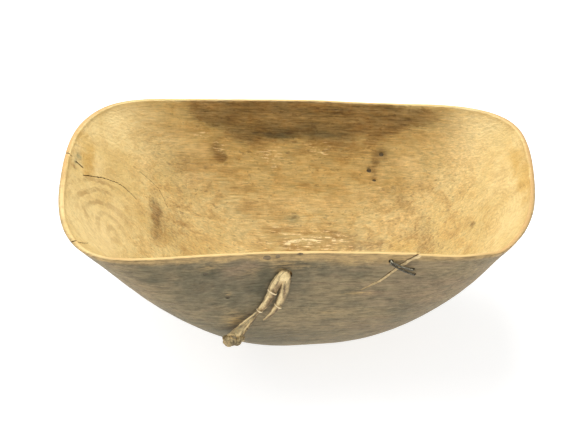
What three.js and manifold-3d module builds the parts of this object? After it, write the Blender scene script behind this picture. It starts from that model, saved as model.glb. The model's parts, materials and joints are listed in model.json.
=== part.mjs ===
// A trough-shaped wooden bowl carved from half a log, with a split in its front wall that is
// stitched with wire, and a hide thong that hangs from a hole below the rim.
// Millimetres. X runs along the bowl, Y across it from front to back, Z up from its worn foot.

import * as THREE from 'three';
import Module from 'manifold-3d';
import { LoftGeometry } from 'three/addons/geometries/LoftGeometry.js';
import { mergeVertices } from 'three/addons/utils/BufferGeometryUtils.js';

const wasm = await Module();
wasm.setup();

// Bowl sizes
const bowlLength = 460;
const bowlWidth = 254;
const rimHeight = 166.4;
const footDepth = 1.6;
const rimWall = 5.2;
const floorWall = 12;
const lipRise = 1.8;
const endDroop = 4;
const lengthwiseTilt = 1.2;
const rimTwist = 6;
const keelShift = 9;

// Bowl form: how square the plan is, how full the walls are, how the ends flare and narrow
const rimSquareness = { along: 6.6, across: 2.28 };
const keelSquareness = { along: 2.6, across: 2 };
const droopPower = 1.6;
const endFlare = 0.16;
const rightNarrowing = 0.12;
const wallFullness = { power: 3, root: 2.4 };
const columns = 88;
const wallRows = 14;
const lipRows = 4;

// Rim: how square the lip is, how far down the wall makes room for it, and where the inside turns level
const lipSquareness = 0.7;
const lipShare = 0.15;
const levelShare = 0.2;
const leastSteepness = 0.2;

// Hole for the thong, its place on the front wall given along the bowl and below the rim
const thongHoleRadius = 5.75;
const thongHolePlace = { along: -8.3, drop: 25 };
const cutThrough = 3 * floorWall;

// Cracks: their blades stand proud of the wall, narrow towards the bottom and run straight in at the rim
const bladeProud = 2.5;
const bladeTaper = 0.3;
const bladeRowsPerRun = 3;
const rimRun = 3;
const crackEndShare = 1 / 3;

// Split in the front wall, from the rim down to its end
const splitWidth = 1.3;
const splitEndWidth = 0.5;
const splitDepth = 11;
const splitEndDepth = 1.5;
const splitRoute = [
  { along: 126, drop: -6 },
  { along: 117, drop: 2.5 },
  { along: 100.5, drop: 13.8 },
  { along: 80.6, drop: 34.5 },
  { along: 61, drop: 48 },
  { along: 47, drop: 61 },
];

// Drying check in the left end, on the inside, given across the bowl and below the rim
const checkWidth = 1.2;
const checkDepth = 3;
const checkRoute = [
  { across: 26.9, drop: 23 },
  { across: 38.2, drop: 31.3 },
  { across: 48.2, drop: 40.8 },
  { across: 54.7, drop: 50.4 },
  { across: 55.9, drop: 60 },
  { across: 53.2, drop: 70 },
];

// Short crack across the rim of the left end
const rimCrackWidth = 1.2;
const rimCrackDepth = 5;
const rimCrackRoute = [
  { across: 40.5, drop: -3 },
  { across: 42.2, drop: 4 },
  { across: 41.5, drop: 11 },
];

// Wire stitch
const wireRadius = 0.8;
const wireLift = 0.35;
const innerWireLift = 0.6;
const wireBend = 1.5;
const wireHoleClearance = 0.55;
const wireSpacing = 2.2;
const wireTail = 9;
const wireTailDip = 0.25;
const lowerTailDrop = 4.5;
const wireSteps = 110;
const wireSides = 6;
const stitchLeft = { along: 89.3, drop: 11.8 };
const stitchRight = [{ along: 110.4, drop: 20.5 }, { along: 111.8, drop: 26.9 }];

// Hide thong: a strip doubled through the hole, with a long leg and a broken short one
const hideThickness = 1.7;
const thongHeadRadius = 4.6;
const thongHeadStandOff = 2.2;
const thongHeadDrop = 0.6;
const thongLean = 30;
const thongGap = 0.35;
const longLeg = [
  { along: -2, down: -2, out: 3, width: 7, curl: 150, twist: 0 },
  { along: -5.8, down: 3, out: 3.7, width: 8, curl: 140, twist: 0 },
  { along: -10.4, down: 11.2, out: 4, width: 8.4, curl: 120, twist: -3 },
  { along: -12.6, down: 16.9, out: 4.2, width: 8.4, curl: 115, twist: -4 },
  { along: -16, down: 25.7, out: 4.3, width: 10, curl: 115, twist: -8 },
  { along: -20, down: 32.9, out: 4.4, width: 9, curl: 130, twist: -6 },
  { along: -24.6, down: 38.8, out: 4.5, width: 6.5, curl: 150, twist: 0 },
  { along: -29.7, down: 45.7, out: 4.4, width: 8, curl: 125, twist: 8 },
  { along: -35.9, down: 53, out: 4.3, width: 11, curl: 95, twist: 12 },
  { along: -42.6, down: 61.5, out: 4.2, width: 15, curl: 75, twist: 10 },
  { along: -47.4, down: 68.4, out: 4, width: 16.5, curl: 80, twist: 4 },
  { along: -49.8, down: 72.4, out: 3.8, width: 14, curl: 100, twist: 0 },
];
const shortLeg = [
  { along: 0.6, down: -1, out: 3, width: 7, curl: 150, twist: 0 },
  { along: 0.6, down: 4, out: 3.7, width: 7.6, curl: 140, twist: 0 },
  { along: -1.4, down: 16.8, out: 4, width: 8.2, curl: 120, twist: 4 },
  { along: -4.6, down: 25.6, out: 4.1, width: 9.4, curl: 115, twist: 6 },
  { along: -7.4, down: 33.4, out: 4.1, width: 9, curl: 125, twist: 4 },
  { along: -12.7, down: 41.9, out: 4, width: 7, curl: 130, twist: 0 },
  { along: -17.9, down: 47.9, out: 3.8, width: 4.6, curl: 110, twist: 0 },
  { along: -21.7, down: 51.2, out: 3.6, width: 2, curl: 60, twist: 0 },
];
const legColumns = 6;
const legRows = 26;

// Sinew ties round the legs: where along the leg, counted in its points, and how large
const tieThickness = 0.5;
const ties = [
  { name: 'sinew_tie_long_leg', leg: longLeg, at: 3, width: 8.8, height: 4.6, slant: 20 },
  { name: 'sinew_tie_gather', leg: longLeg, at: 6, width: 6.8, height: 4.4, slant: -8 },
  { name: 'sinew_tie_short_leg', leg: shortLeg, at: 4, width: 9.2, height: 4.6, slant: 18 },
];

// Knots: the rolled end of the long leg, and the stop knot behind the wall
const endKnot = { along: -51.6, down: 76.6, out: 3.2, length: 18, height: 12, depth: 10, slant: 18 };
const endKnotWrap = { thickness: 2.2, inset: 0.4, turn: 60 };
const neckClearance = 1.15;
const neckRadius = thongHoleRadius - neckClearance;
const neckProud = 1;
const stopKnotOverlap = 1.85;
const stopKnotRadius = thongHoleRadius + stopKnotOverlap;
const stopKnotWrap = 2.9;
const stopKnotCore = { length: 14.6, height: 11.2, depth: 11.2, turn: 35 };

const halfTurn = Math.PI;
const fullTurn = 2 * Math.PI;
const degree = Math.PI / 180;
const outward = new THREE.Vector3(0, -1, 0);
const up = new THREE.Vector3(0, 0, 1);
const frontWall = { angle: 1.5 * Math.PI, depth: 0.2 };
const leftWall = { angle: 0.92 * Math.PI, depth: 0.2 };

// Solids

/** Merges a closed geometry's shared vertices and makes a solid of it, leaving out flat triangles. */
function toSolid(geometry) {
  const bare = new THREE.BufferGeometry().copy(geometry);
  bare.deleteAttribute('normal');
  bare.deleteAttribute('uv');
  const merged = mergeVertices(bare, 1e-5);
  const corners = merged.index.array;
  const triangles = [];
  for (let i = 0; i < corners.length; i += 3) {
    const triangle = corners.slice(i, i + 3);
    if (new Set(triangle).size === 3) triangles.push(...triangle);
  }
  const mesh = new wasm.Mesh({
    numProp: 3,
    vertProperties: new Float32Array(merged.attributes.position.array),
    triVerts: Uint32Array.from(triangles),
  });
  return new wasm.Manifold(mesh);
}

/** Gives a solid back as a geometry. */
function toGeometry(solid) {
  const mesh = solid.getMesh();
  const geometry = new THREE.BufferGeometry();
  geometry.setAttribute('position', new THREE.BufferAttribute(new Float32Array(mesh.vertProperties), 3));
  geometry.setIndex(new THREE.BufferAttribute(new Uint32Array(mesh.triVerts), 1));
  geometry.computeVertexNormals();
  return geometry;
}

/** A round bar with its axis along Y, centred on a point. */
function barAcross(centre, radius, length, sides) {
  const bar = new THREE.CylinderGeometry(radius, radius, length, sides);
  bar.translate(centre.x, centre.y, centre.z);
  return toSolid(bar);
}

/** A ball centred on a point. */
function ball(centre, radius) {
  const sphere = new THREE.SphereGeometry(radius, 18, 12);
  sphere.translate(centre.x, centre.y, centre.z);
  return toSolid(sphere);
}

// The bowl's surfaces

function mix(from, to, share) {
  return from + (to - from) * share;
}

/** A point on the outline |x|^along + |y|^across = 1, in the direction of an angle. */
function planPoint(angle, along, across) {
  const x = Math.max(Math.abs(Math.cos(angle)), 1e-9);
  const y = Math.max(Math.abs(Math.sin(angle)), 1e-9);
  let reach = 1.5;
  for (let step = 0; step < 14; step += 1) {
    const value = (reach * x) ** along + (reach * y) ** across - 1;
    const slope = along * x * (reach * x) ** (along - 1) + across * y * (reach * y) ** (across - 1);
    reach -= value / slope;
  }
  return new THREE.Vector2(reach * Math.cos(angle), reach * Math.sin(angle));
}

/** The outer surface at an angle round the plan and a depth from 0, the rim, to 1, the keel. */
function outerPoint(angle, depth) {
  const plan = planPoint(
    angle,
    mix(rimSquareness.along, keelSquareness.along, depth),
    mix(rimSquareness.across, keelSquareness.across, depth),
  );
  const lengthShare = Math.sqrt(1 - depth);
  const widthShare = (1 - depth ** wallFullness.power) ** (1 / wallFullness.root);
  const flare = (1 + endFlare * plan.x ** 2 * (1 - depth)) * (1 - rightNarrowing * plan.x);
  const keelToRim = rimHeight + footDepth - endDroop * Math.abs(plan.x) ** droopPower
    + lengthwiseTilt * plan.x + rimTwist * plan.x * plan.y;
  return new THREE.Vector3(
    (bowlLength / 2) * plan.x * lengthShare + keelShift * depth,
    (bowlWidth / 2) * plan.y * widthShare * flare,
    keelToRim * (1 - depth) - footDepth,
  );
}

/** The outer surface's direction outwards, straight down at the keel. */
function outerNormal(angle, depth) {
  if (depth === 1) return up.clone().negate();
  const turn = 0.002;
  const dip = 0.0005;
  const shallow = Math.max(depth - dip, 0);
  const deep = Math.min(depth + dip, 1);
  const round = outerPoint(angle + turn, depth).sub(outerPoint(angle - turn, depth));
  const rise = outerPoint(angle, shallow).sub(outerPoint(angle, deep));
  return round.cross(rise).normalize();
}

/** The inner surface: the outer one moved in by the wall, level with the rim at the top. */
function innerPoint(angle, depth) {
  const wall = mix(rimWall, floorWall, depth);
  const normal = outerNormal(angle, depth);
  const level = new THREE.Vector3(normal.x, normal.y, 0);
  const levelStep = level.clone().divideScalar(Math.max(level.lengthSq(), leastSteepness));
  const share = THREE.MathUtils.smoothstep(depth, 0, levelShare);
  return outerPoint(angle, depth).addScaledVector(levelStep.lerp(normal, share), -wall);
}

/** Finds where one of the bowl's surfaces has two wanted coordinates, such as x and z. */
function findOnWall(surface, wanted, keys, start) {
  const place = { ...start };
  const step = 1e-4;
  for (let round = 0; round < 25; round += 1) {
    const here = surface(place.angle, place.depth);
    const turned = surface(place.angle + step, place.depth);
    const lower = surface(place.angle, place.depth + step);
    const [a, b] = keys.map((key) => (turned[key] - here[key]) / step);
    const [c, d] = keys.map((key) => (lower[key] - here[key]) / step);
    const [first, second] = keys.map((key) => wanted[key] - here[key]);
    const area = a * d - b * c;
    place.angle += (first * d - second * c) / area;
    place.depth = THREE.MathUtils.clamp(place.depth + (second * a - first * b) / area, 0, 0.9);
  }
  return place;
}

/** A place on the front wall: its outer and inner points and the direction outwards. */
function frontPlace(along, drop) {
  const wanted = { x: along, z: rimHeight - drop };
  const place = findOnWall(outerPoint, wanted, ['x', 'z'], frontWall);
  const inside = findOnWall(innerPoint, wanted, ['x', 'z'], frontWall);
  const outer = outerPoint(place.angle, place.depth);
  const inner = innerPoint(inside.angle, inside.depth);
  return { outer, inner, normal: outerNormal(place.angle, place.depth) };
}

/** A place on the inside of the left end: its inner point and the direction into the bowl. */
function leftPlace(across, drop) {
  const wanted = { y: across, z: rimHeight - Math.max(drop, rimRun) };
  const place = findOnWall(innerPoint, wanted, ['y', 'z'], leftWall);
  const point = innerPoint(place.angle, place.depth);
  point.z = rimHeight - drop;
  return { point, normal: outerNormal(place.angle, place.depth).negate() };
}

/** Bowl before any hole is cut: outer wall from keel to rim, rounded lip, inner wall down to the floor. */
function bowlBlank() {
  const sections = [];
  const angles = Array.from({ length: columns }, (_, i) => evenAngle(i / columns));
  const depths = Array.from({ length: wallRows }, (_, i) => 1 - (i / (wallRows - 1)) ** 2);
  for (const depth of depths) {
    sections.push(angles.map((angle) => lowered(outerPoint(angle, depth), depth)));
  }
  for (let row = 1; row <= lipRows; row += 1) {
    sections.push(angles.map((angle) => lipPoint(angle, (row / (lipRows + 1)) * halfTurn)));
  }
  for (const depth of depths.slice().reverse()) {
    sections.push(angles.map((angle) => lowered(innerPoint(angle, depth), depth)));
  }
  return toSolid(new LoftGeometry(sections));
}

/** Makes room for the rounded lip at the top of a wall. */
function lowered(point, depth) {
  point.z -= lipRise * Math.max(1 - depth / lipShare, 0);
  return point;
}

/** A point on the rounded lip, from the outer wall at turn 0 to the inner wall at half a turn. */
function lipPoint(angle, turn) {
  const point = outerPoint(angle, 0).lerp(innerPoint(angle, 0), (1 - Math.cos(turn)) / 2);
  point.z += lipRise * (Math.sin(turn) ** lipSquareness - 1);
  return point;
}

/** The angle that lies a share of the way round the rim, measured along its length. */
function evenAngle(share) {
  const samples = 720;
  const lengths = [0];
  let last = outerPoint(0, 0);
  for (let i = 1; i <= samples; i += 1) {
    const next = outerPoint((i / samples) * fullTurn, 0);
    lengths.push(lengths[i - 1] + next.distanceTo(last));
    last = next;
  }
  const wanted = share * lengths[samples];
  const above = lengths.findIndex((length) => length > wanted);
  const part = (wanted - lengths[above - 1]) / (lengths[above] - lengths[above - 1]);
  return ((above - 1 + part) / samples) * fullTurn;
}

// Cuts in the bowl

/** A thin blade along a route on a wall, standing proud of the surface and narrowing below it. */
function crackBlade(places, widths, depths) {
  const route = new THREE.CatmullRomCurve3(places.map((place) => place.point));
  const rows = (places.length - 1) * bladeRowsPerRun;
  const sections = [];
  for (let row = 0; row <= rows; row += 1) {
    const share = row / rows;
    const point = route.getPoint(share);
    const tangent = route.getTangent(share);
    const index = Math.min(Math.floor(share * (places.length - 1)), places.length - 2);
    const part = share * (places.length - 1) - index;
    const normal = places[index].normal.clone().lerp(places[index + 1].normal, part).normalize();
    const side = normal.clone().cross(tangent).normalize();
    const half = mix(widths[0], widths[1], share) / 2;
    const depth = mix(depths[0], depths[1], share);
    const top = point.clone().addScaledVector(normal, bladeProud);
    const bottom = point.clone().addScaledVector(normal, -depth);
    sections.push([
      bottom.clone().addScaledVector(side, half * bladeTaper),
      top.clone().addScaledVector(side, half),
      top.clone().addScaledVector(side, -half),
      bottom.clone().addScaledVector(side, -half * bladeTaper),
    ]);
  }
  return toSolid(new LoftGeometry(sections, { capStart: true, capEnd: true }));
}

/** A crack that closes towards its end. */
function closingCrack(places, width, depth) {
  return crackBlade(places, [width, width * crackEndShare], [depth, depth * crackEndShare]);
}

function frontSplit() {
  const places = splitRoute.map((spot) => {
    const place = frontPlace(spot.along, Math.max(spot.drop, rimRun));
    place.outer.z = rimHeight - spot.drop;
    return { point: place.outer, normal: place.normal };
  });
  return crackBlade(places, [splitWidth, splitEndWidth], [splitDepth, splitEndDepth]);
}

function dryingCheck() {
  const places = checkRoute.map((spot) => leftPlace(spot.across, spot.drop));
  return closingCrack(places, checkWidth, checkDepth);
}

function rimCrack() {
  const places = rimCrackRoute.map((spot) => leftPlace(spot.across, spot.drop));
  return closingCrack(places, rimCrackWidth, rimCrackDepth);
}

function worn() {
  const ground = new THREE.BoxGeometry(bowlLength, bowlWidth * 2, footDepth * 4);
  ground.translate(0, 0, -footDepth * 2);
  return toSolid(ground);
}

function wireHoles() {
  const left = frontPlace(stitchLeft.along, stitchLeft.drop).outer;
  const wireHoleRadius = wireRadius + wireHoleClearance;
  const leftHole = barAcross(left, wireSpacing / 2 + wireHoleRadius, cutThrough, 20);
  return stitchRight.reduce((holes, spot) => {
    const place = frontPlace(spot.along, spot.drop).outer;
    return holes.add(barAcross(place, wireHoleRadius, cutThrough, 12));
  }, leftHole);
}

function bowlBody() {
  const hole = frontPlace(thongHolePlace.along, thongHolePlace.drop).outer;
  const solid = bowlBlank()
    .subtract(worn())
    .subtract(barAcross(hole, thongHoleRadius, cutThrough, 28))
    .subtract(wireHoles())
    .subtract(frontSplit())
    .subtract(dryingCheck())
    .subtract(rimCrack());
  return toGeometry(solid);
}

// The wire stitch

/** A line of straight runs with its corners rounded, as one curve. */
function roundedRoute(points, radius) {
  const route = new THREE.CurvePath();
  let from = points[0];
  for (let i = 1; i < points.length - 1; i += 1) {
    const corner = points[i];
    const before = corner.clone().sub(from).normalize();
    const after = points[i + 1].clone().sub(corner).normalize();
    const bendStart = corner.clone().addScaledVector(before, -radius);
    const bendEnd = corner.clone().addScaledVector(after, radius);
    route.add(new THREE.LineCurve3(from, bendStart));
    route.add(new THREE.QuadraticBezierCurve3(bendStart, corner, bendEnd));
    from = bendEnd;
  }
  route.add(new THREE.LineCurve3(from, points[points.length - 1]));
  return route;
}

/** The wire's route: out through the left hole and in at the right, twice, with a tail at each end. */
function wireRoute() {
  const left = frontPlace(stitchLeft.along, stitchLeft.drop);
  const rights = stitchRight.map((spot) => frontPlace(spot.along, spot.drop));
  const run = rights[0].outer.clone().sub(left.outer).setY(0).normalize();
  const across = new THREE.Vector3(-run.z, 0, run.x);
  const shift = across.clone().multiplyScalar(wireSpacing / 2);
  const outside = (place) => place.outer.clone().addScaledVector(outward, wireRadius + wireLift);
  const inside = (place) => place.inner.clone().addScaledVector(outward, -wireRadius - innerWireLift);
  const tailEnd = (spot, reach) => {
    const dip = wireTailDip * Math.abs(reach);
    return inside(frontPlace(spot.along + reach * run.x, spot.drop - reach * run.z - dip));
  };
  const upperTail = tailEnd(stitchLeft, -wireTail);
  const lowerStart = { along: stitchRight[1].along, drop: stitchRight[1].drop + lowerTailDrop };
  const lowerTail = tailEnd(lowerStart, wireTail);
  return roundedRoute([
    upperTail,
    inside(left).add(shift),
    outside(left).add(shift),
    outside(rights[0]),
    inside(rights[0]),
    inside(left).sub(shift),
    outside(left).sub(shift),
    outside(rights[1]),
    inside(rights[1]),
    lowerTail,
  ], wireBend);
}

/** Least gap between one stretch of a tube and another, measured on points along its route. */
function leastGap(route, steps, radius) {
  const points = route.getSpacedPoints(steps);
  const apart = Math.ceil((4 * radius * steps) / route.getLength());
  let least = Infinity;
  for (let i = 0; i < points.length; i += 1) {
    for (let j = i + apart; j < points.length; j += 1) {
      least = Math.min(least, points[i].distanceTo(points[j]) - 2 * radius);
    }
  }
  return least;
}

function wireStitch() {
  const route = wireRoute();
  console.log(`least gap between the wire's turns: ${leastGap(route, 400, wireRadius).toFixed(2)} mm`);
  const section = new THREE.Shape();
  for (let side = 0; side < wireSides; side += 1) {
    const turn = (side / wireSides) * fullTurn;
    const move = side === 0 ? 'moveTo' : 'lineTo';
    section[move](wireRadius * Math.cos(turn), wireRadius * Math.sin(turn));
  }
  section.closePath();
  const sweep = { steps: wireSteps, extrudePath: route, bevelEnabled: false };
  return toGeometry(toSolid(new THREE.ExtrudeGeometry(section, sweep)));
}

// The hide thong

const thongHole = frontPlace(thongHolePlace.along, thongHolePlace.drop);
const leanDirection = new THREE.Vector3(-Math.sin(thongLean * degree), 0, -Math.cos(thongLean * degree));
const thongHead = thongHole.outer.clone()
  .addScaledVector(outward, thongHeadStandOff)
  .addScaledVector(leanDirection, thongHeadDrop);

/** A point given along the bowl, down and out from the hole's middle. */
function fromHole(spot) {
  const point = thongHole.outer.clone().addScaledVector(outward, spot.out);
  point.x += spot.along;
  point.z -= spot.down;
  return point;
}

/** A leg's centre line, and its width, curl and twist, each as a smooth curve. */
function legCurves(leg) {
  const forms = leg.map((spot) => new THREE.Vector3(spot.width, spot.curl, spot.twist));
  return {
    centre: new THREE.CatmullRomCurve3(leg.map(fromHole)),
    form: new THREE.CatmullRomCurve3(forms),
  };
}

/** The axes of a leg's section: along the leg, to its side and to its front. */
function legAxes(curves, share) {
  const along = curves.centre.getTangent(share);
  const twist = curves.form.getPoint(share).z * degree;
  const side = outward.clone().cross(along).normalize().applyAxisAngle(along, twist);
  const front = along.clone().cross(side);
  return { along, side, front };
}

/** A strip of hide curled lengthwise, its edges turned towards the wall. */
function curledStrip(leg, grow) {
  const curves = legCurves(leg);
  const sections = [];
  for (let row = 0; row <= legRows; row += 1) {
    const share = row / legRows;
    const centre = curves.centre.getPoint(share);
    const form = curves.form.getPoint(share);
    const { along, side, front } = legAxes(curves, share);
    centre.addScaledVector(along, (row === legRows ? grow : 0) - (row === 0 ? grow : 0));
    const curl = form.y * degree;
    const radius = form.x / 2 / Math.sin(Math.min(curl, halfTurn) / 2);
    const middle = (radius * (1 + Math.cos(curl / 2))) / 2;
    const edge = curl / 2 - (hideThickness / 2 - grow) / radius;
    const ring = [];
    const addArc = (reach, from, to) => {
      for (let i = 0; i < legColumns; i += 1) {
        const turn = mix(from, to, i / (legColumns - 1));
        const point = centre.clone().addScaledVector(side, reach * Math.sin(turn));
        ring.push(point.addScaledVector(front, reach * Math.cos(turn) - middle));
      }
    };
    addArc(radius + grow, edge, -edge);
    addArc(radius - hideThickness - grow, -edge, edge);
    sections.push(ring);
  }
  return toSolid(new LoftGeometry(sections, { capStart: true, capEnd: true }));
}

function hideThong() {
  const solid = ball(thongHead, thongHeadRadius).add(curledStrip(longLeg, 0)).add(curledStrip(shortLeg, 0));
  return toGeometry(solid);
}

/** A flattened ring round a leg, leaning a little, clear of the hide. */
function sinewTie(tie) {
  const curves = legCurves(tie.leg);
  const share = tie.at / (tie.leg.length - 1);
  const { along, side, front } = legAxes(curves, share);
  const reach = tie.width / 2 + thongGap + tieThickness;
  const ring = new THREE.TorusGeometry(reach, tieThickness, 6, 24);
  ring.scale(1, (tie.height / 2 + thongGap + tieThickness) / reach, 1);
  ring.rotateY(tie.slant * degree);
  ring.applyMatrix4(new THREE.Matrix4().makeBasis(side, front, side.clone().cross(front)));
  const centre = curves.centre.getPoint(share);
  ring.translate(centre.x, centre.y, centre.z);
  return ring;
}

/** An egg-shaped lump. */
function lump(length, height, depth) {
  const shape = new THREE.SphereGeometry(0.5, 20, 14);
  shape.scale(length, depth, height);
  return shape;
}

/** The long leg's rolled end, wrapped once, with a slot that the leg runs into. */
function thongEndKnot() {
  const core = lump(endKnot.length, endKnot.height, endKnot.depth);
  const wrap = new THREE.TorusGeometry(endKnot.height / 2 - endKnotWrap.inset, endKnotWrap.thickness, 8, 18);
  wrap.rotateY(endKnotWrap.turn * degree);
  wrap.scale(1, endKnot.depth / endKnot.height, 1);
  const centre = fromHole(endKnot);
  for (const piece of [core, wrap]) {
    piece.rotateY(-endKnot.slant * degree);
    piece.translate(centre.x, centre.y, centre.z);
  }
  return toGeometry(toSolid(core).add(toSolid(wrap)).subtract(curledStrip(longLeg, thongGap)));
}

/** How far back the wall's inside reaches round the edge of the thong's hole. */
function wallInsideAtHole() {
  const reaches = [];
  for (let turn = 0; turn < fullTurn; turn += halfTurn / 4) {
    const along = thongHolePlace.along + thongHoleRadius * Math.cos(turn);
    const drop = thongHolePlace.drop + thongHoleRadius * Math.sin(turn);
    reaches.push(frontPlace(along, drop).inner.y);
  }
  return Math.max(...reaches);
}

/** The thong's neck in the hole, cupped round its head, and the knot that holds it behind the wall. */
function thongStopKnot() {
  const middle = thongHead.clone().setY(0);
  const knotFace = wallInsideAtHole() + thongGap;
  const neckFront = thongHole.outer.y - neckProud;
  const neckBack = knotFace + stopKnotWrap;
  const neckMiddle = middle.clone().setY((neckFront + neckBack) / 2);
  const neck = barAcross(neckMiddle, neckRadius, neckBack - neckFront, 20);
  const wrap = new THREE.TorusGeometry(stopKnotRadius - stopKnotWrap, stopKnotWrap, 10, 24);
  wrap.rotateX(halfTurn / 2);
  wrap.translate(middle.x, knotFace + stopKnotWrap, middle.z);
  const core = lump(stopKnotCore.length, stopKnotCore.height, stopKnotCore.depth);
  core.rotateY(stopKnotCore.turn * degree);
  core.translate(middle.x, knotFace + stopKnotCore.depth / 2 + thongGap, middle.z);
  const knot = neck.add(toSolid(wrap)).add(toSolid(core));
  return toGeometry(knot.subtract(ball(thongHead, thongHeadRadius + thongGap)));
}

// Assembly

const wood = new THREE.MeshStandardMaterial({ color: 0xb8945a, roughness: 0.72, metalness: 0 });
const steel = new THREE.MeshStandardMaterial({ color: 0x4c4a44, roughness: 0.42, metalness: 0.9 });
const hide = new THREE.MeshStandardMaterial({ color: 0xc9a469, roughness: 0.6, metalness: 0 });
const sinew = new THREE.MeshStandardMaterial({ color: 0xd9bf88, roughness: 0.5, metalness: 0 });

const model = new THREE.Group();

function addPiece(name, geometry, material) {
  const mesh = new THREE.Mesh(geometry, material);
  mesh.name = name;
  model.add(mesh);
}

addPiece('bowl_body', bowlBody(), wood);
addPiece('wire_stitch', wireStitch(), steel);
addPiece('thong_stop_knot', thongStopKnot(), hide);
addPiece('hide_thong', hideThong(), hide.clone());
addPiece('thong_end_knot', thongEndKnot(), hide.clone());
for (const tie of ties) {
  addPiece(tie.name, sinewTie(tie), sinew.clone());
}

export default model;
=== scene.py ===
"""A long wooden bowl carved from half a log, mended with wire, with a hide thong below its rim.

Everything is in metres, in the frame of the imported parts: X runs along the bowl, Y across it
from the front wall to the back one, and Z up from its worn foot.
"""

import json
import logging
from dataclasses import dataclass
from enum import Enum
from math import cos, pi, radians, sin, tau

import bmesh
import bpy
import numpy as np
from mathutils import Matrix, Vector, noise
from mathutils.kdtree import KDTree


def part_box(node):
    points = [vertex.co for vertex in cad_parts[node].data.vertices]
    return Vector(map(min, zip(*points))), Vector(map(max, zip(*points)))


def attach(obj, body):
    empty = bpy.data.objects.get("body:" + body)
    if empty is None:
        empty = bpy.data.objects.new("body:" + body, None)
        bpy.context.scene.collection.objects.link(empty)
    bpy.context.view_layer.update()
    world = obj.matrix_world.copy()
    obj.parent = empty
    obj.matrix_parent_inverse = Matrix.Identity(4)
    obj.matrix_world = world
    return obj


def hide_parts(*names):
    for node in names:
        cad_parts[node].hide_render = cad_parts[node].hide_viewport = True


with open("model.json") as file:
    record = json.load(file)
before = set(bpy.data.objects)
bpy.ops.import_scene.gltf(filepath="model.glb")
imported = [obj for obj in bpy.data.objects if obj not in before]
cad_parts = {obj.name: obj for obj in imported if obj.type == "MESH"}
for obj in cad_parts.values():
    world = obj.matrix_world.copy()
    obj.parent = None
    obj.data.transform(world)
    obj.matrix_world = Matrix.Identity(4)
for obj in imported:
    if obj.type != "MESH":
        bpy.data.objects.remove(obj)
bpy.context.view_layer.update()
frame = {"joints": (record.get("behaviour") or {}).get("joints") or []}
log = logging.getLogger("wooden_bowl")

MM = 0.001


# Small helpers for numbers


def mix(low: float, high: float, share: float) -> float:
    """Gives the value a share of the way from low to high."""
    return low + (high - low) * share


def smooth(share: np.ndarray) -> np.ndarray:
    """Eases a share that is cut off at 0 and 1."""
    share = np.clip(share, 0.0, 1.0)
    return share * share * (3.0 - 2.0 * share)


def hump(values: np.ndarray, middle: float | np.ndarray, spread: float | np.ndarray) -> np.ndarray:
    """Gives 1 where values are at the middle, fading to 0 on both sides of it."""
    return np.exp(-(((values - middle) / spread) ** 2))


def unit(vectors: np.ndarray) -> np.ndarray:
    """Scales rows of vectors to length 1."""
    return vectors / np.maximum(np.linalg.norm(vectors, axis=-1, keepdims=True), 1e-12)


def rumble(points: np.ndarray, scale: float, shift: float = 0.0) -> np.ndarray:
    """Smooth noise from -1 to 1 at each point.

    Args:
        points: Rows of points, in metres.
        scale: How many waves a metre holds, about.
        shift: Moves the pattern, so that two uses of it differ.

    Returns:
        One value for each point.
    """
    flat = points.reshape(-1, 3) * scale + shift
    values = np.array([noise.noise(Vector(point)) for point in flat])
    return values.reshape(points.shape[:-1])


def creases(points: np.ndarray, scale: float, shift: float, breadth: float) -> np.ndarray:
    """Thin wandering lines, as 1 on a line and 0 away from it."""
    return np.clip(1 - np.abs(rumble(points, scale, shift)) / breadth, 0.0, 1.0)


# Meshes


def make_object(name: str, bm: bmesh.types.BMesh) -> bpy.types.Object:
    """Turns faces that are ready into an object at the origin.

    Args:
        name: The object's name.
        bm: The faces, which are freed.

    Returns:
        The object.
    """
    mesh = bpy.data.meshes.new(name)
    bm.to_mesh(mesh)
    bm.free()
    piece = bpy.data.objects.new(name, mesh)
    bpy.context.scene.collection.objects.link(piece)
    return piece


def bent_grid(name: str, places: np.ndarray, flipped: bool = False) -> bpy.types.Object:
    """Bends a flat grid to rows of places, and closes its seam and its two ends.

    Args:
        name: The new object's name.
        places: Points in rows and columns. The last column repeats the first one, and the first
            and last rows each lie on one point.
        flipped: Whether the grid's faces would point inwards.

    Returns:
        A closed piece.
    """
    rows, columns = places.shape[0] - 1, places.shape[1] - 1
    bm = bmesh.new()
    bmesh.ops.create_grid(bm, x_segments=columns, y_segments=rows, size=0.5)
    for vert in bm.verts:
        column = round((vert.co.x + 0.5) * columns)
        row = round((vert.co.y + 0.5) * rows)
        vert.co = Vector(places[row, column])
    bmesh.ops.remove_doubles(bm, verts=bm.verts, dist=1e-6)
    if flipped:
        bmesh.ops.reverse_faces(bm, faces=bm.faces)
    piece = make_object(name, bm)
    piece.data.shade_smooth()
    return piece


def coordinates(mesh: bpy.types.Mesh) -> np.ndarray:
    """Reads a mesh's points as rows.

    Args:
        mesh: The mesh.

    Returns:
        One row for each point.
    """
    flat = np.empty(len(mesh.vertices) * 3)
    mesh.vertices.foreach_get("co", flat)
    return flat.reshape(-1, 3)


def set_coordinates(mesh: bpy.types.Mesh, points: np.ndarray) -> None:
    """Writes a mesh's points back."""
    mesh.vertices.foreach_set("co", points.astype(np.float32).ravel())
    mesh.update()


def paint(mesh: bpy.types.Mesh, name: str, values: np.ndarray) -> None:
    """Stores one value for each point of a mesh, for its material to read."""
    layer = mesh.attributes.get(name) or mesh.attributes.new(name, "FLOAT", "POINT")
    layer.data.foreach_set("value", np.clip(values, 0.0, 1.0).astype(np.float32))


def settle(piece: bpy.types.Object) -> None:
    """Replaces a piece's mesh by what its modifiers make of it, and clears them.

    Args:
        piece: The piece.
    """
    graph = bpy.context.evaluated_depsgraph_get()
    final = bpy.data.meshes.new_from_object(piece.evaluated_get(graph), depsgraph=graph)
    piece.modifiers.clear()
    piece.data = final


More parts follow.
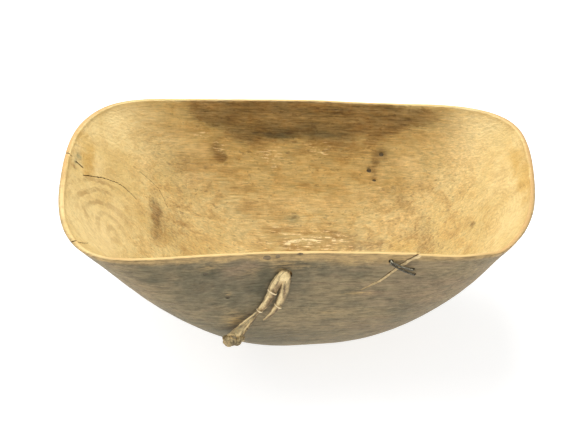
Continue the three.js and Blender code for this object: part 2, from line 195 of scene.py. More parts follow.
def carve(piece: bpy.types.Object, cutters: list[bpy.types.Object], keep: str = "DIFFERENCE") -> None:
    """Cuts pieces out of another one, or joins them to it.

    Args:
        piece: What is carved.
        cutters: The closed pieces to cut with, which are removed afterwards.
        keep: The kind of Boolean, such as DIFFERENCE or UNION.
    """
    for cutter in cutters:
        step = piece.modifiers.new(cutter.name, "BOOLEAN")
        step.operation = keep
        step.object = cutter
        step.solver = "MANIFOLD"
        step.material_mode = "TRANSFER"
    settle(piece)
    for cutter in cutters:
        bpy.data.objects.remove(cutter)


def remesh(piece: bpy.types.Object, voxel: float, rounds: int) -> None:
    """Fuses a piece's overlapping bodies into one skin and smooths it.

    Args:
        piece: The piece, as closed bodies that may overlap.
        voxel: The size of the skin's faces, in metres.
        rounds: How often the skin is smoothed.
    """
    skin = piece.modifiers.new("skin", "REMESH")
    skin.mode = "VOXEL"
    skin.voxel_size = voxel
    settle(piece)
    bm = bmesh.new()
    bm.from_mesh(piece.data)
    for _ in range(rounds):
        bmesh.ops.smooth_vert(
            bm, verts=bm.verts, factor=0.5, use_axis_x=True, use_axis_y=True, use_axis_z=True
        )
    bm.to_mesh(piece.data)
    bm.free()
    piece.data.shade_smooth()


def fuse(name: str, parts: list[bpy.types.Object]) -> bpy.types.Object:
    """Puts several bodies into one piece under a new name.

    Args:
        name: The new piece's name.
        parts: The bodies, which are removed.

    Returns:
        The new piece.
    """
    bm = bmesh.new()
    for part in parts:
        bm.from_mesh(part.data)
        bpy.data.objects.remove(part)
    return make_object(name, bm)


def roughen(piece: bpy.types.Object, scale: float, depth: float, shift: float = 0.0) -> None:
    """Moves a piece's points in and out along its normals by smooth noise.

    Args:
        piece: The piece.
        scale: How many waves a metre holds, about.
        depth: How far a point moves at most.
        shift: Moves the pattern.
    """
    mesh = piece.data
    points = coordinates(mesh)
    normals = np.array([vert.normal for vert in mesh.vertices])
    set_coordinates(mesh, points + normals * (rumble(points, scale, shift) * depth)[:, None])


def sink(piece: bpy.types.Object, depths: np.ndarray) -> None:
    """Moves a piece's points inwards along its normals, each by its own depth."""
    normals = np.array([vert.normal for vert in piece.data.vertices])
    set_coordinates(piece.data, coordinates(piece.data) - normals * depths[:, None])


def skin_tree(points: np.ndarray) -> KDTree:
    """Makes a way to find the nearest of many points.

    Args:
        points: The points, in rows.

    Returns:
        The way to find them.
    """
    lookup = KDTree(len(points))
    for index, point in enumerate(points):
        lookup.insert(point, index)
    lookup.balance()
    return lookup


# Curves and sweeps


def distances(line: np.ndarray) -> np.ndarray:
    """Measures how far along a line each of its points lies."""
    return np.concatenate([[0.0], np.cumsum(np.linalg.norm(np.diff(line, axis=0), axis=1))])


def spline(values: np.ndarray, shares: np.ndarray) -> np.ndarray:
    """Runs a Catmull-Rom curve through rows of values.

    Args:
        values: One row for each point of the curve, of any width.
        shares: Where along the curve to read it, from 0 to 1.

    Returns:
        One row for each share.
    """
    padded = np.vstack([2 * values[0] - values[1], values, 2 * values[-1] - values[-2]])
    place = np.clip(shares, 0.0, 1.0) * (len(values) - 1)
    index = np.minimum(place.astype(int), len(values) - 2)
    t = (place - index)[:, None]
    a, b, c, d = (padded[index + k] for k in range(4))
    return 0.5 * (2 * b + (c - a) * t + (2 * a - 5 * b + 4 * c - d) * t**2 + (3 * b - a - 3 * c + d) * t**3)


def level_axes(line: np.ndarray, facing: np.ndarray, twist: np.ndarray) -> tuple[np.ndarray, np.ndarray]:
    """Finds the side and front directions of a sweep that faces one way.

    Args:
        line: The sweep's centre points, in rows.
        facing: The direction that its front looks in.
        twist: How far it is turned about its line at each point, in radians.

    Returns:
        The side directions and the front directions, in rows.
    """
    along = unit(np.gradient(line, axis=0))
    side = unit(np.cross(np.broadcast_to(facing, along.shape), along))
    front = np.cross(along, side)
    turn_cos, turn_sin = np.cos(twist)[:, None], np.sin(twist)[:, None]
    return side * turn_cos + front * turn_sin, front * turn_cos - side * turn_sin


def swept(line: np.ndarray, side: np.ndarray, front: np.ndarray, outline: np.ndarray) -> np.ndarray:
    """Places an outline along a line, with both ends drawn to a point.

    Args:
        line: Centre points, in rows.
        side: The outline's first axis at each centre point.
        front: The outline's second axis at each centre point.
        outline: For each centre point, the outline's points as pairs.

    Returns:
        Points in rows and columns, ready for bent_grid.
    """
    body = (
        line[:, None, :]
        + outline[:, :, :1] * side[:, None, :]
        + outline[:, :, 1:] * front[:, None, :]
    )
    body = np.concatenate([body, body[:, :1]], axis=1)
    first = np.broadcast_to(body[0].mean(axis=0), body[:1].shape)
    last = np.broadcast_to(body[-1].mean(axis=0), body[-1:].shape)
    return np.concatenate([first, body, last])


def round_outline(radii: np.ndarray, sides: int) -> np.ndarray:
    """Circles of several radii, as outlines for swept.

    Args:
        radii: The radii.
        sides: How many points each circle has.

    Returns:
        For each radius, the circle's points as pairs.
    """
    turns = np.linspace(0.0, tau, sides, endpoint=False)
    circle = np.stack([np.cos(turns), np.sin(turns)], axis=1)
    return radii[:, None, None] * circle[None]


def rod(name: str, line: np.ndarray, radii: np.ndarray, sides: int) -> bpy.types.Object:
    """Builds a round rod along a line that runs across the bowl, from the front to the back.

    Args:
        name: The rod's name.
        line: Its centre points, in rows.
        radii: Its radius at each of them.
        sides: How many sides it has.

    Returns:
        The rod.
    """
    side = np.broadcast_to([1.0, 0.0, 0.0], line.shape)
    front = np.broadcast_to([0.0, 0.0, 1.0], line.shape)
    return bent_grid(name, swept(line, side, front, round_outline(radii, sides)), flipped=True)


# The bowl's form


@dataclass(frozen=True)
class BowlForm:
    """The bowl's outer and inner surfaces, by an angle round its plan and a depth.

    Depth runs from 0 at the rim to 1 at the keel.
    """

    length: float = 460 * MM
    width: float = 254 * MM
    rim_height: float = 166.4 * MM
    foot_depth: float = 1.6 * MM
    rim_wall: float = 5.2 * MM
    floor_wall: float = 12 * MM
    lip_rise: float = 1.8 * MM
    end_droop: float = 4 * MM
    lengthwise_tilt: float = 1.2 * MM
    rim_twist: float = 6 * MM
    keel_shift: float = 9 * MM
    rim_square: tuple[float, float] = (6.6, 2.28)
    keel_square: tuple[float, float] = (2.6, 2.0)
    droop_power: float = 1.6
    end_flare: float = 0.16
    right_narrowing: float = 0.12
    fullness: tuple[float, float] = (3.0, 2.4)
    lip_square: float = 0.7
    lip_share: float = 0.15
    level_share: float = 0.2

    def plan(self, angle: np.ndarray, depth: np.ndarray) -> tuple[np.ndarray, np.ndarray]:
        """Finds the point of the plan's outline, a rounded oblong of half size 1, at an angle.

        Args:
            angle: Angles round the plan, in radians.
            depth: The depths whose outlines are asked for.

        Returns:
            The points' x and y.
        """
        along = mix(self.rim_square[0], self.keel_square[0], depth)
        across = mix(self.rim_square[1], self.keel_square[1], depth)
        x, y = (np.maximum(np.abs(f(angle)), 1e-9) for f in (np.cos, np.sin))
        reach = np.full(np.broadcast(angle, depth).shape, 1.5)
        for _ in range(14):
            value = (reach * x) ** along + (reach * y) ** across - 1
            slope = along * x * (reach * x) ** (along - 1) + across * y * (reach * y) ** (across - 1)
            reach = reach - value / slope
        return reach * np.cos(angle), reach * np.sin(angle)

    def outer(self, angle: np.ndarray, depth: np.ndarray) -> np.ndarray:
        """Gives points of the outer surface, in rows.

        Args:
            angle: Angles round the plan.
            depth: Depths, from 0 at the rim.

        Returns:
            The points.
        """
        px, py = self.plan(angle, depth)
        shallow = 1 - depth
        width_share = np.maximum(1 - depth ** self.fullness[0], 0) ** (1 / self.fullness[1])
        flare = (1 + self.end_flare * px**2 * shallow) * (1 - self.right_narrowing * px)
        rise = self.rim_height + self.foot_depth - self.end_droop * np.abs(px) ** self.droop_power
        rise = rise + self.lengthwise_tilt * px + self.rim_twist * px * py
        return np.stack(
            [
                self.length / 2 * px * np.sqrt(np.maximum(shallow, 0)) + self.keel_shift * depth,
                self.width / 2 * py * width_share * flare,
                rise * shallow - self.foot_depth,
            ],
            axis=-1,
        )

    def normal(self, angle: np.ndarray, depth: np.ndarray) -> np.ndarray:
        """Gives the outer surface's directions outwards, straight down at the keel.

        Args:
            angle: Angles round the plan.
            depth: Depths, from 0 at the rim.

        Returns:
            The directions, in rows.
        """
        turn, dip = 0.002, 0.0005
        around = self.outer(angle + turn, depth) - self.outer(angle - turn, depth)
        rise = self.outer(angle, np.maximum(depth - dip, 0)) - self.outer(angle, np.minimum(depth + dip, 1))
        found = unit(np.cross(around, rise))
        down = np.broadcast_to([0.0, 0.0, -1.0], found.shape)
        return np.where((depth >= 1)[..., None], down, found)

    def inner(self, angle: np.ndarray, depth: np.ndarray) -> np.ndarray:
        """Gives points of the inner surface, level with the rim at the top.

        Args:
            angle: Angles round the plan.
            depth: Depths, from 0 at the rim.

        Returns:
            The points.
        """
        normal = self.normal(angle, depth)
        level = normal * [1.0, 1.0, 0.0]
        steep = np.maximum((level**2).sum(axis=-1, keepdims=True), 0.2)
        share = smooth(depth / self.level_share)[..., None]
        wall = mix(self.rim_wall, self.floor_wall, depth)[..., None]
        return self.outer(angle, depth) - (level / steep * (1 - share) + normal * share) * wall

    def even_angles(self, count: int) -> np.ndarray:
        """Angles that divide the rim's length evenly, from 0 to a full turn, both included.

        Args:
            count: How many parts there are.

        Returns:
            The angles, one more than the parts.
        """
        fine = np.linspace(0.0, tau, 2881)
        rim = self.outer(fine, np.zeros_like(fine))
        lengths = distances(rim)
        return np.interp(np.linspace(0.0, lengths[-1], count + 1), lengths, fine)

    def front_place(self, along: float, drop: float, inside: bool = False) -> np.ndarray:
        """Finds the point of the front wall at a place along the bowl and a drop below its rim.

        Args:
            along: The place along X.
            drop: How far it lies below the rim's height.
            inside: Whether the point is on the inner surface.

        Returns:
            The point.
        """
        surface = self.inner if inside else self.outer
        place = np.array([1.5 * pi, 0.2])
        wanted = np.array([along, self.rim_height - drop])
        step = 1e-4
        for _ in range(25):
            tries = np.array([[0.0, 0.0], [step, 0.0], [0.0, step]]) + place
            here, turned, lower = surface(tries[:, 0], tries[:, 1])[:, [0, 2]]
            slopes = np.stack([turned - here, lower - here], axis=1) / step
            place = place + np.linalg.solve(slopes, wanted - here)
            place[1] = min(max(place[1], 0.0), 0.9)
        return surface(place[:1], place[1:])[0]


FORM = BowlForm()
OUTWARD = np.array([0.0, -1.0, 0.0])
HOLE = np.array(frame["joints"][0]["pos_m"])


# Finishes


class NodeBench:
    """Builds the shader nodes of one material and links them."""

    def __init__(self, name: str) -> None:
        """Starts a material with an empty shader.

        Args:
            name: The material's name.
        """
        self.material = bpy.data.materials.new(name)
        self.material.use_nodes = True
        self.tree = self.material.node_tree
        self.shader = self.tree.nodes["Principled BSDF"]
        self.place = self.tree.nodes.new("ShaderNodeTexCoord").outputs["Object"]

    def link(self, value: object, socket: bpy.types.NodeSocket) -> None:
        """Sets a socket to a number or colour, or links another node's output to it.

        Args:
            value: A number, a colour or an output.
            socket: The socket to set.
        """
        if isinstance(value, bpy.types.NodeSocket):
            self.tree.links.new(value, socket)
        elif isinstance(value, (tuple, list)) and socket.type == "RGBA":
            socket.default_value = (*value[:3], 1.0)
        else:
            socket.default_value = value

    def node(self, kind: str, inputs: dict, **choices: str) -> bpy.types.Node:
        """Adds a node and links or sets its inputs.

        Args:
            kind: Its kind.
            inputs: The values or outputs for its inputs, by name or number.
            **choices: Its settings.

        Returns:
            The node.
        """
        node = self.tree.nodes.new(kind)
        for name, choice in choices.items():
            setattr(node, name, choice)
        for name, value in inputs.items():
            self.link(value, node.inputs[name])
        return node

    def surface(self, inputs: dict) -> bpy.types.Material:
        """Links or sets the shader's inputs and gives the finished material.

        Args:
            inputs: The values or outputs for its inputs, by name.

        Returns:
            The material.
        """
        for name, value in inputs.items():
            self.link(value, self.shader.inputs[name])
        return self.material

    def stretch(self, scale: tuple, shift: tuple = (0, 0, 0), source: object = None) -> bpy.types.NodeSocket:
        """Scales and moves a place, by default the object's own coordinates."""
        inputs = {"Vector": source or self.place, "Location": shift, "Scale": scale}
        return self.node("ShaderNodeMapping", inputs).outputs["Vector"]

    def trunk_place(self, pith: tuple, lean: tuple, warp: float) -> bpy.types.NodeSocket:
        """A place in the tree: along its trunk, out from its pith and round it.

        Args:
            pith: The middle of the growth rings at the bowl's middle, as Y and Z.
            lean: How far the pith moves in Y and Z for each metre along the bowl.
            warp: How far the rings wander, in metres.

        Returns:
            The place as a vector, in metres.
        """
        parts = self.node("ShaderNodeSeparateXYZ", {0: self.place})
        offsets = []
        for axis, squash in ((0, 0.65), (1, 1.0)):
            middle = self.math("ADD", self.times(parts.outputs[0], lean[axis]), pith[axis])
            offsets.append(self.times(self.math("SUBTRACT", parts.outputs[axis + 1], middle), squash))
        squares = self.math("ADD", self.times(offsets[0], offsets[0]), self.times(offsets[1], offsets[1]))
        wander = self.noise(self.stretch((14, 26, 26)), 3.0)
        wander = self.times(self.math("SUBTRACT", wander, 0.5), 2 * warp)
        outward = self.math("ADD", self.math("SQRT", squares), wander)
        round_it = self.times(self.math("ARCTAN2", offsets[0], offsets[1]), 0.16)
        return self.node("ShaderNodeCombineXYZ", {0: parts.outputs[0], 1: outward, 2: round_it}).outputs[0]

    def noise(
        self, vector: bpy.types.NodeSocket, detail: float = 3.0, rough: float = 0.55, warp: float = 0.0
    ) -> bpy.types.NodeSocket:
        """Fractal noise from 0 to 1."""
        inputs = {"Vector": vector, "Scale": 1.0, "Detail": detail, "Roughness": rough, "Distortion": warp}
        return self.node("ShaderNodeTexNoise", inputs).outputs["Fac"]

    def rings(self, vector: bpy.types.NodeSocket, width: float, warp: float) -> bpy.types.NodeSocket:
        """Growth rings of one width in a trunk's place, from 0 to 1.

        Args:
            vector: The place in the trunk.
            width: A ring's width in metres.
            warp: How far the rings wander.

        Returns:
            The rings.
        """
        inputs = {
            "Vector": vector,
            "Scale": tau / (20 * width),
            "Distortion": warp,
            "Detail": 2.0,
            "Detail Scale": 1.5,
        }
        choices = {"wave_type": "BANDS", "bands_direction": "Y", "wave_profile": "SIN"}
        return self.node("ShaderNodeTexWave", inputs, **choices).outputs["Fac"]

    def band(self, value: bpy.types.NodeSocket, low: float, high: float) -> bpy.types.NodeSocket:
        """Maps the values between two limits to 0 to 1, smoothly."""
        inputs = {"Value": value, "From Min": low, "From Max": high}
        return self.node("ShaderNodeMapRange", inputs, interpolation_type="SMOOTHSTEP").outputs["Result"]

    def math(self, operation: str, first: object, second: object = 0.0) -> bpy.types.NodeSocket:
        """Joins two values by a sum, product or the like."""
        return self.node("ShaderNodeMath", {0: first, 1: second}, operation=operation).outputs[0]

    def times(self, *values: object) -> bpy.types.NodeSocket:
        """Multiplies values.

        Args:
            *values: The values.

        Returns:
            Their product.
        """
        product = values[0]
        for value in values[1:]:
            product = self.math("MULTIPLY", product, value)
        return product

    def blend(self, share: object, first: object, second: object, way: str = "MIX") -> bpy.types.NodeSocket:
        """Blends two colours by a share."""
        inputs = {0: share, 6: first, 7: second}
        return self.node("ShaderNodeMix", inputs, data_type="RGBA", blend_type=way).outputs[2]

    def uneven(self, colour: object, *layers: tuple) -> bpy.types.NodeSocket:
        """Lightens and darkens a colour by patterns, each given with its depth.

        Args:
            colour: The colour.
            *layers: Pairs of a pattern and its depth.

        Returns:
            The uneven colour.
        """
        level = 1.0
        for pattern, depth in layers:
            level = self.math("ADD", level, self.times(self.math("SUBTRACT", pattern, 0.5), depth))
        return self.blend(1.0, colour, level, "MULTIPLY")

    def layered(self, colour: object, layers: dict, coats: tuple) -> bpy.types.NodeSocket:
        """Blends coats of colour over another one, each where a pattern is strong.

        Args:
            colour: The colour below.
            layers: The patterns by name.
            coats: For each coat, its pattern's name, the values between which it sets in, the
                factors of its strength, and its colour.

        Returns:
            The colour with its coats.
        """
        for name, low, high, strength, coat in coats:
            share = self.times(self.band(layers[name], low, high), *strength)
            colour = self.blend(share, colour, coat)
        return colour

    def painted(self, name: str) -> bpy.types.NodeSocket:
        """Reads a value that is stored on the mesh."""
        return self.node("ShaderNodeAttribute", {}, attribute_name=name).outputs["Fac"]

    def bump(self, height: object, depth: float, below: object = None) -> bpy.types.NodeSocket:
        """Raises the surface by a height from 0 to 1, times a depth in metres."""
        inputs = {"Height": height, "Distance": depth} | ({} if below is None else {"Normal": below})
        return self.node("ShaderNodeBump", inputs).outputs["Normal"]


@dataclass(frozen=True)
class CarvedWood:
    """The bowl's wood: honey-coloured and streaked inside, greyed outside, pale where the rim is worn, with
    painted glints and painted shade.
    """

    honey: tuple = (0.72, 0.525, 0.205)
    pale_honey: tuple = (0.84, 0.65, 0.295)
    tawny: tuple = (0.49, 0.325, 0.125)
    umber: tuple = (0.24, 0.15, 0.062)
    umber_and_shade_tint: tuple = (0.50, 0.455, 0.43)
    soot_tint: tuple = (0.42, 0.50, 0.60)
    amber_tint: tuple = (0.84, 0.72, 0.50)
    middle_tint: tuple = (0.90, 0.90, 0.89)
    warm_tint: tuple = (1.01, 0.94, 0.86)
    weathered: tuple = (0.31, 0.235, 0.12)
    grey: tuple = (0.19, 0.157, 0.09)
    moss: tuple = (0.115, 0.10, 0.055)
    rosy: tuple = (0.34, 0.235, 0.135)
    tan: tuple = (0.52, 0.35, 0.145)
    # Painted shadow: the dark line just under the rim's lip outside.
    under_rim_shadow: tuple = (0.17, 0.095, 0.028)
    worn: tuple = (0.84, 0.58, 0.235)
    worn_end: tuple = (0.62, 0.38, 0.145)
    # Painted shade: the orange-brown line along the inner edge of the lip.
    lip_line_shade: tuple = (0.74, 0.43, 0.15)
    # Painted highlight: glints of raised fibres.
    glint: tuple = (1.0, 0.84, 0.50)
    straw: tuple = (0.92, 0.72, 0.35)
    pith: tuple = (-0.019, 0.115)
    pith_lean: tuple = (0.049, 0.016)
    ring_widths: tuple = (0.0105, 0.0032)

    def material(self) -> bpy.types.Material:
        """Builds the wood's material.

        Returns:
            The material.
        """
        b = NodeBench("carved_wood")
        trunk = b.trunk_place(self.pith, self.pith_lean, 0.007)
        to_right = b.band(b.stretch((1, 0, 0)), -0.05, 0.12)
        wide, narrow = (b.rings(trunk, width, 1.4) for width in self.ring_widths)
        rings = b.math("ADD", b.times(wide, b.math("SUBTRACT", 1.0, to_right)), b.times(narrow, to_right))
        layers = {
            "rings": rings,
            "growth": b.noise(b.stretch((7, 300, 26), source=trunk), 3.0, 0.6),
            "fibres": b.noise(b.stretch((60, 560, 560)), 4.0, 0.7),
            "streaks": b.noise(b.stretch((16, 150, 150)), 4.0, 0.62, 0.3),
            "broad": b.noise(b.stretch((9, 17, 17)), 3.0, 0.55, 0.4),
            "mottle": b.noise(b.stretch((42, 62, 62), (3, 7, 1)), 6.0, 0.68, 0.5),
            "specks": b.noise(b.stretch((130, 240, 240), (1, 2, 3)), 3.0, 0.6),
            "scuffs": b.noise(b.stretch((75, 130, 130), (5, 2, 8)), 7.0, 0.78, 0.4),
        }
        inside = self.inside_colour(b, layers)
        outside = self.outside_colour(b, layers)
        colour = b.blend(b.painted("inside"), outside, inside)
        rim = b.painted("rim")
        worn = b.times(b.band(b.math("ADD", rim, b.times(layers["fibres"], 0.3)), 0.42, 0.85), 0.9)
        colour = b.blend(worn, colour, b.blend(b.painted("end_grain"), self.worn, self.worn_end))
        # Painted shade along the inner edge of the lip at the ends.
        colour = b.blend(b.times(b.painted("lip_line_shade"), 0.5), colour, self.lip_line_shade)
        pores = b.bump(layers["fibres"], 0.0009)
        waves = b.bump(layers["streaks"], 0.0012, pores)
        inputs = {
            "Base Color": colour,
            "Roughness": b.math("ADD", b.times(layers["streaks"], 0.22), 0.42),
            "Specular IOR Level": 0.3,
            "Normal": b.bump(layers["mottle"], 0.0016, waves),
        }
        return b.surface(inputs)

    def inside_colour(self, b: NodeBench, layers: dict) -> bpy.types.NodeSocket:
        """Colours the inside.

        Args:
            b: The bench that the material is made on.
            layers: The wood's patterns by name.

        Returns:
            The colour.
        """
        ends = b.painted("end_grain")
        calm = b.math("SUBTRACT", 1.0, b.times(ends, 0.6))
        colour = b.blend(b.band(layers["broad"], 0.32, 0.66), self.honey, self.pale_honey)
        ring_share = b.times(b.painted("rings"), b.band(layers["mottle"], 0.3, 0.6), 0.95)
        colour = b.blend(b.times(b.band(layers["rings"], 0.45, 0.9), ring_share), colour, self.tawny)
        coats = (
            ("growth", 0.5, 0.7, (0.42,), self.tawny),
            ("streaks", 0.5, 0.74, (calm, 0.4), self.tawny),
            ("mottle", 0.49, 0.66, (calm, 0.62), self.tawny),
            ("scuffs", 0.52, 0.66, (calm, 0.5), self.tawny),
            ("scuffs", 0.5, 0.36, (calm, 0.5), self.pale_honey),
            ("specks", 0.57, 0.67, (calm, 0.5), self.umber),
        )
        colour = b.layered(colour, layers, coats)
        warmed = b.times(b.band(layers["mottle"], 0.42, 0.58), calm)
        colour = b.blend(warmed, colour, self.warm_tint, "MULTIPLY")
        colour = b.blend(b.math("SUBTRACT", 1.0, ends), colour, self.middle_tint, "MULTIPLY")
        # Pale patches of wood, partly painted light that brightens the far corners.
        colour = b.blend(b.times(b.painted("pale"), 0.85), colour, self.straw)
        # The umber tint darkens stains, and on the far wall it also paints shade.
        tints = (("umber", self.umber_and_shade_tint), ("soot", self.soot_tint), ("amber", self.amber_tint))
        for name, tint in tints:
            mask = b.painted(name)
            patchy = b.math("ADD", b.times(layers["scuffs"], 0.9), b.times(layers["streaks"], 0.9))
            spread = b.band(b.math("ADD", patchy, b.times(mask, 0.8)), 0.85, 1.35)
            colour = b.blend(b.times(b.band(mask, 0.0, 0.7), spread), colour, tint, "MULTIPLY")
        streaked = b.uneven(colour, (layers["streaks"], 1.9), (layers["fibres"], 1.3))
        colour = b.blend(b.band(b.painted("umber"), 0.1, 0.7), colour, streaked)
        grain = ((layers["fibres"], 1.1), (layers["scuffs"], 0.8), (layers["specks"], 0.5))
        rough = b.uneven(colour, *grain)
        colour = b.blend(calm, colour, rough)
        # Painted highlights: glints where raised fibres catch the light.
        fleck_glint = b.painted("fleck_glint")
        glinting_fibres = b.band(b.math("ADD", layers["fibres"], b.times(fleck_glint, 0.07)), 0.58, 0.65)
        glints = b.times(fleck_glint, glinting_fibres, b.band(layers["specks"], 0.42, 0.54))
        return b.blend(glints, colour, self.glint)

    def outside_colour(self, b: NodeBench, layers: dict) -> bpy.types.NodeSocket:
        """Colours the outside.

        Args:
            b: The bench that the material is made on.
            layers: The wood's patterns by name.

        Returns:
            The colour.
        """
        colour = b.blend(b.band(layers["broad"], 0.32, 0.66), self.grey, self.weathered)
        coats = (
            ("growth", 0.45, 0.7, (0.5,), self.grey),
            ("streaks", 0.5, 0.7, (0.4,), self.rosy),
            ("mottle", 0.5, 0.64, (0.5,), self.moss),
            ("scuffs", 0.52, 0.66, (0.55,), self.moss),
            ("scuffs", 0.48, 0.34, (0.6,), self.weathered),
            ("streaks", 0.3, 0.6, (b.painted("rosy"), 0.7), self.rosy),
        )
        colour = b.layered(colour, layers, coats)
        # Grime, and painted shade that darkens the lower outer wall.
        grime_and_shade = b.painted("grime_and_shade")
        patchy = b.math("ADD", b.times(layers["scuffs"], 1.0), b.times(layers["streaks"], 0.7))
        spread = b.band(b.math("ADD", patchy, b.times(grime_and_shade, 0.6)), 0.95, 1.35)
        colour = b.blend(b.times(grime_and_shade, spread, 0.9), colour, self.moss)
        # Pale streaks, and painted light that lightens the wall beside the knot.
        pale_streak_and_lit_share = b.times(b.painted("pale_streak_and_lit"), b.band(layers["fibres"], 0.4, 0.6))
        colour = b.blend(pale_streak_and_lit_share, colour, self.tan)
        tanned = b.math("ADD", b.painted("tan"), b.times(b.math("SUBTRACT", layers["scuffs"], 0.5), 1.2))
        colour = b.blend(b.times(b.band(tanned, 0.15, 0.85), 0.85), colour, self.tan)
        # Painted shadow line under the rim's lip.
        colour = b.blend(b.times(b.painted("under_rim_shadow"), 0.9), colour, self.under_rim_shadow)
        return b.uneven(colour, (layers["fibres"], 1.7), (layers["scuffs"], 1.3), (layers["specks"], 0.8))


@dataclass(frozen=True)
class TornWood:
    """Bare wood inside a split, a hole or a crack; its darker copies paint the shade inside holes and
    cracks.
    """

    name: str = "torn_wood"
    light: tuple = (0.92, 0.70, 0.36)
    shade: tuple = (0.58, 0.42, 0.21)

    def material(self) -> bpy.types.Material:
        """Builds the bare wood's material.

        Returns:
            The material.
        """
        b = NodeBench(self.name)
        fibres = b.noise(b.stretch((50, 500, 500)), 4.0, 0.65)
        colour = b.blend(b.band(fibres, 0.35, 0.7), self.shade, self.light)
        return b.surface({"Base Color": colour, "Roughness": 0.75, "Normal": b.bump(fibres, 0.0006)})


@dataclass(frozen=True)
class Rawhide:
    """Dried hide: pale and slightly glossy, with painted highlights on its lit edges, painted shade in its
    hollows and creases, and greyed low down.
    """

    name: str
    pale: tuple = (0.97, 0.75, 0.375)
    body: tuple = (0.56, 0.38, 0.165)
    brown: tuple = (0.20, 0.125, 0.05)
    olive: tuple = (0.34, 0.295, 0.15)
    dark: tuple = (0.10, 0.065, 0.03)
    wrinkle: float = 0.0005

    def material(self) -> bpy.types.Material:
        """Builds the hide's material.

        Returns:
            The material.
        """
        b = NodeBench(self.name)
        patches = b.noise(b.stretch((130, 130, 130)), 4.0, 0.65, 0.5)
        folds = b.noise(b.stretch((420, 420, 160)), 4.0, 0.65, 0.6)
        fine = b.noise(b.stretch((900, 900, 500)), 4.0, 0.7)
        colour = b.blend(b.band(patches, 0.38, 0.68), self.body, self.brown)
        colour = b.blend(b.times(b.painted("low"), b.band(folds, 0.8, 0.3), 0.9), colour, self.olive)
        # Painted highlights on the lit edges; painted shade in the hollows and creases.
        colour = b.blend(b.times(b.painted("pale_and_lit"), b.band(folds, 0.85, 0.45)), colour, self.pale)
        colour = b.blend(b.times(b.painted("hollow_shade"), b.band(patches, 0.2, 0.5)), colour, self.brown)
        colour = b.blend(b.times(b.painted("crease_shade"), 0.9), colour, self.dark)
        inputs = {
            "Base Color": b.uneven(colour, (fine, 0.9), (folds, 0.6)),
            "Roughness": b.math("ADD", b.times(patches, 0.3), 0.36),
            "Normal": b.bump(folds, self.wrinkle, b.bump(fine, self.wrinkle / 2)),
        }
        return b.surface(inputs)


@dataclass(frozen=True)
class Sinew:
    """Dried sinew: pale, with fine fibres."""

    pale: tuple = (0.98, 0.80, 0.48)
    brown: tuple = (0.55, 0.38, 0.17)

    def material(self) -> bpy.types.Material:
        """Builds the sinew's material.

        Returns:
            The material.
        """
        b = NodeBench("sinew")
        fibres = b.noise(b.stretch((700, 700, 700)), 4.0, 0.65, 0.4)
        colour = b.blend(b.band(fibres, 0.48, 0.75), self.pale, self.brown)
        return b.surface({"Base Color": colour, "Roughness": 0.4, "Normal": b.bump(fibres, 0.0002)})


@dataclass(frozen=True)
class DarkWire:
    """Darkened wire, with a painted highlight along its upper side."""

    dark: tuple = (0.065, 0.056, 0.033)
    painted_highlight: tuple = (0.92, 0.86, 0.62)

    def material(self) -> bpy.types.Material:
        """Builds the wire's material.

        Returns:
            The material.
        """
        b = NodeBench("dark_wire")
        patina = b.noise(b.stretch((300, 300, 300)), 4.0, 0.6)
        # Painted highlight along the wire's upper side.
        highlight_share = b.times(b.painted("painted_highlight"), b.band(patina, 0.66, 0.4))
        inputs = {
            "Base Color": b.blend(highlight_share, self.dark, self.painted_highlight),
            "Metallic": 0.25,
            "Specular IOR Level": 0.7,
            "Roughness": b.math("ADD", b.times(patina, 0.3), 0.15),
            "Normal": b.bump(patina, 0.00008),
        }
        return b.surface(inputs)


@dataclass(frozen=True)
class StudioFloor:
    """The plain pale floor, lit from below as a light table is, so that its shadows stay faint."""

    colour: tuple = (0.55, 0.55, 0.55)
    glow: float = 0.74

    def material(self) -> bpy.types.Material:
        """Builds the floor's material.

        Returns:
            The material.
        """
        b = NodeBench("studio_floor")
        inputs = {
            "Base Color": self.colour,
            "Roughness": 0.9,
            "Specular IOR Level": 0.1,
            "Emission Color": (1.0, 1.0, 1.0),
            "Emission Strength": self.glow,
        }
        return b.surface(inputs)


class Slot(Enum):
    """The record's material slots."""

    BOWL_WOOD = "bowl_wood"
    STITCH_WIRE = "stitch_wire"
    HIDE = "hide"
    SINEW = "sinew"


def dress(
    piece: bpy.types.Object, finish: bpy.types.Material | None, body: str, node: str
) -> None:
    """Gives a piece its material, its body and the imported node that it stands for.

    Args:
        piece: The piece.
        finish: Its material, or nothing where it already has its own.
        body: The body that it moves with.
        node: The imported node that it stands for.
    """
    if finish:
        piece.data.materials.clear()
        piece.data.materials.append(finish)
    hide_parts(node)
    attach(piece, body)
    log.info("%s: %d faces, rides on %s", piece.name, len(piece.data.polygons), body)


# The studio


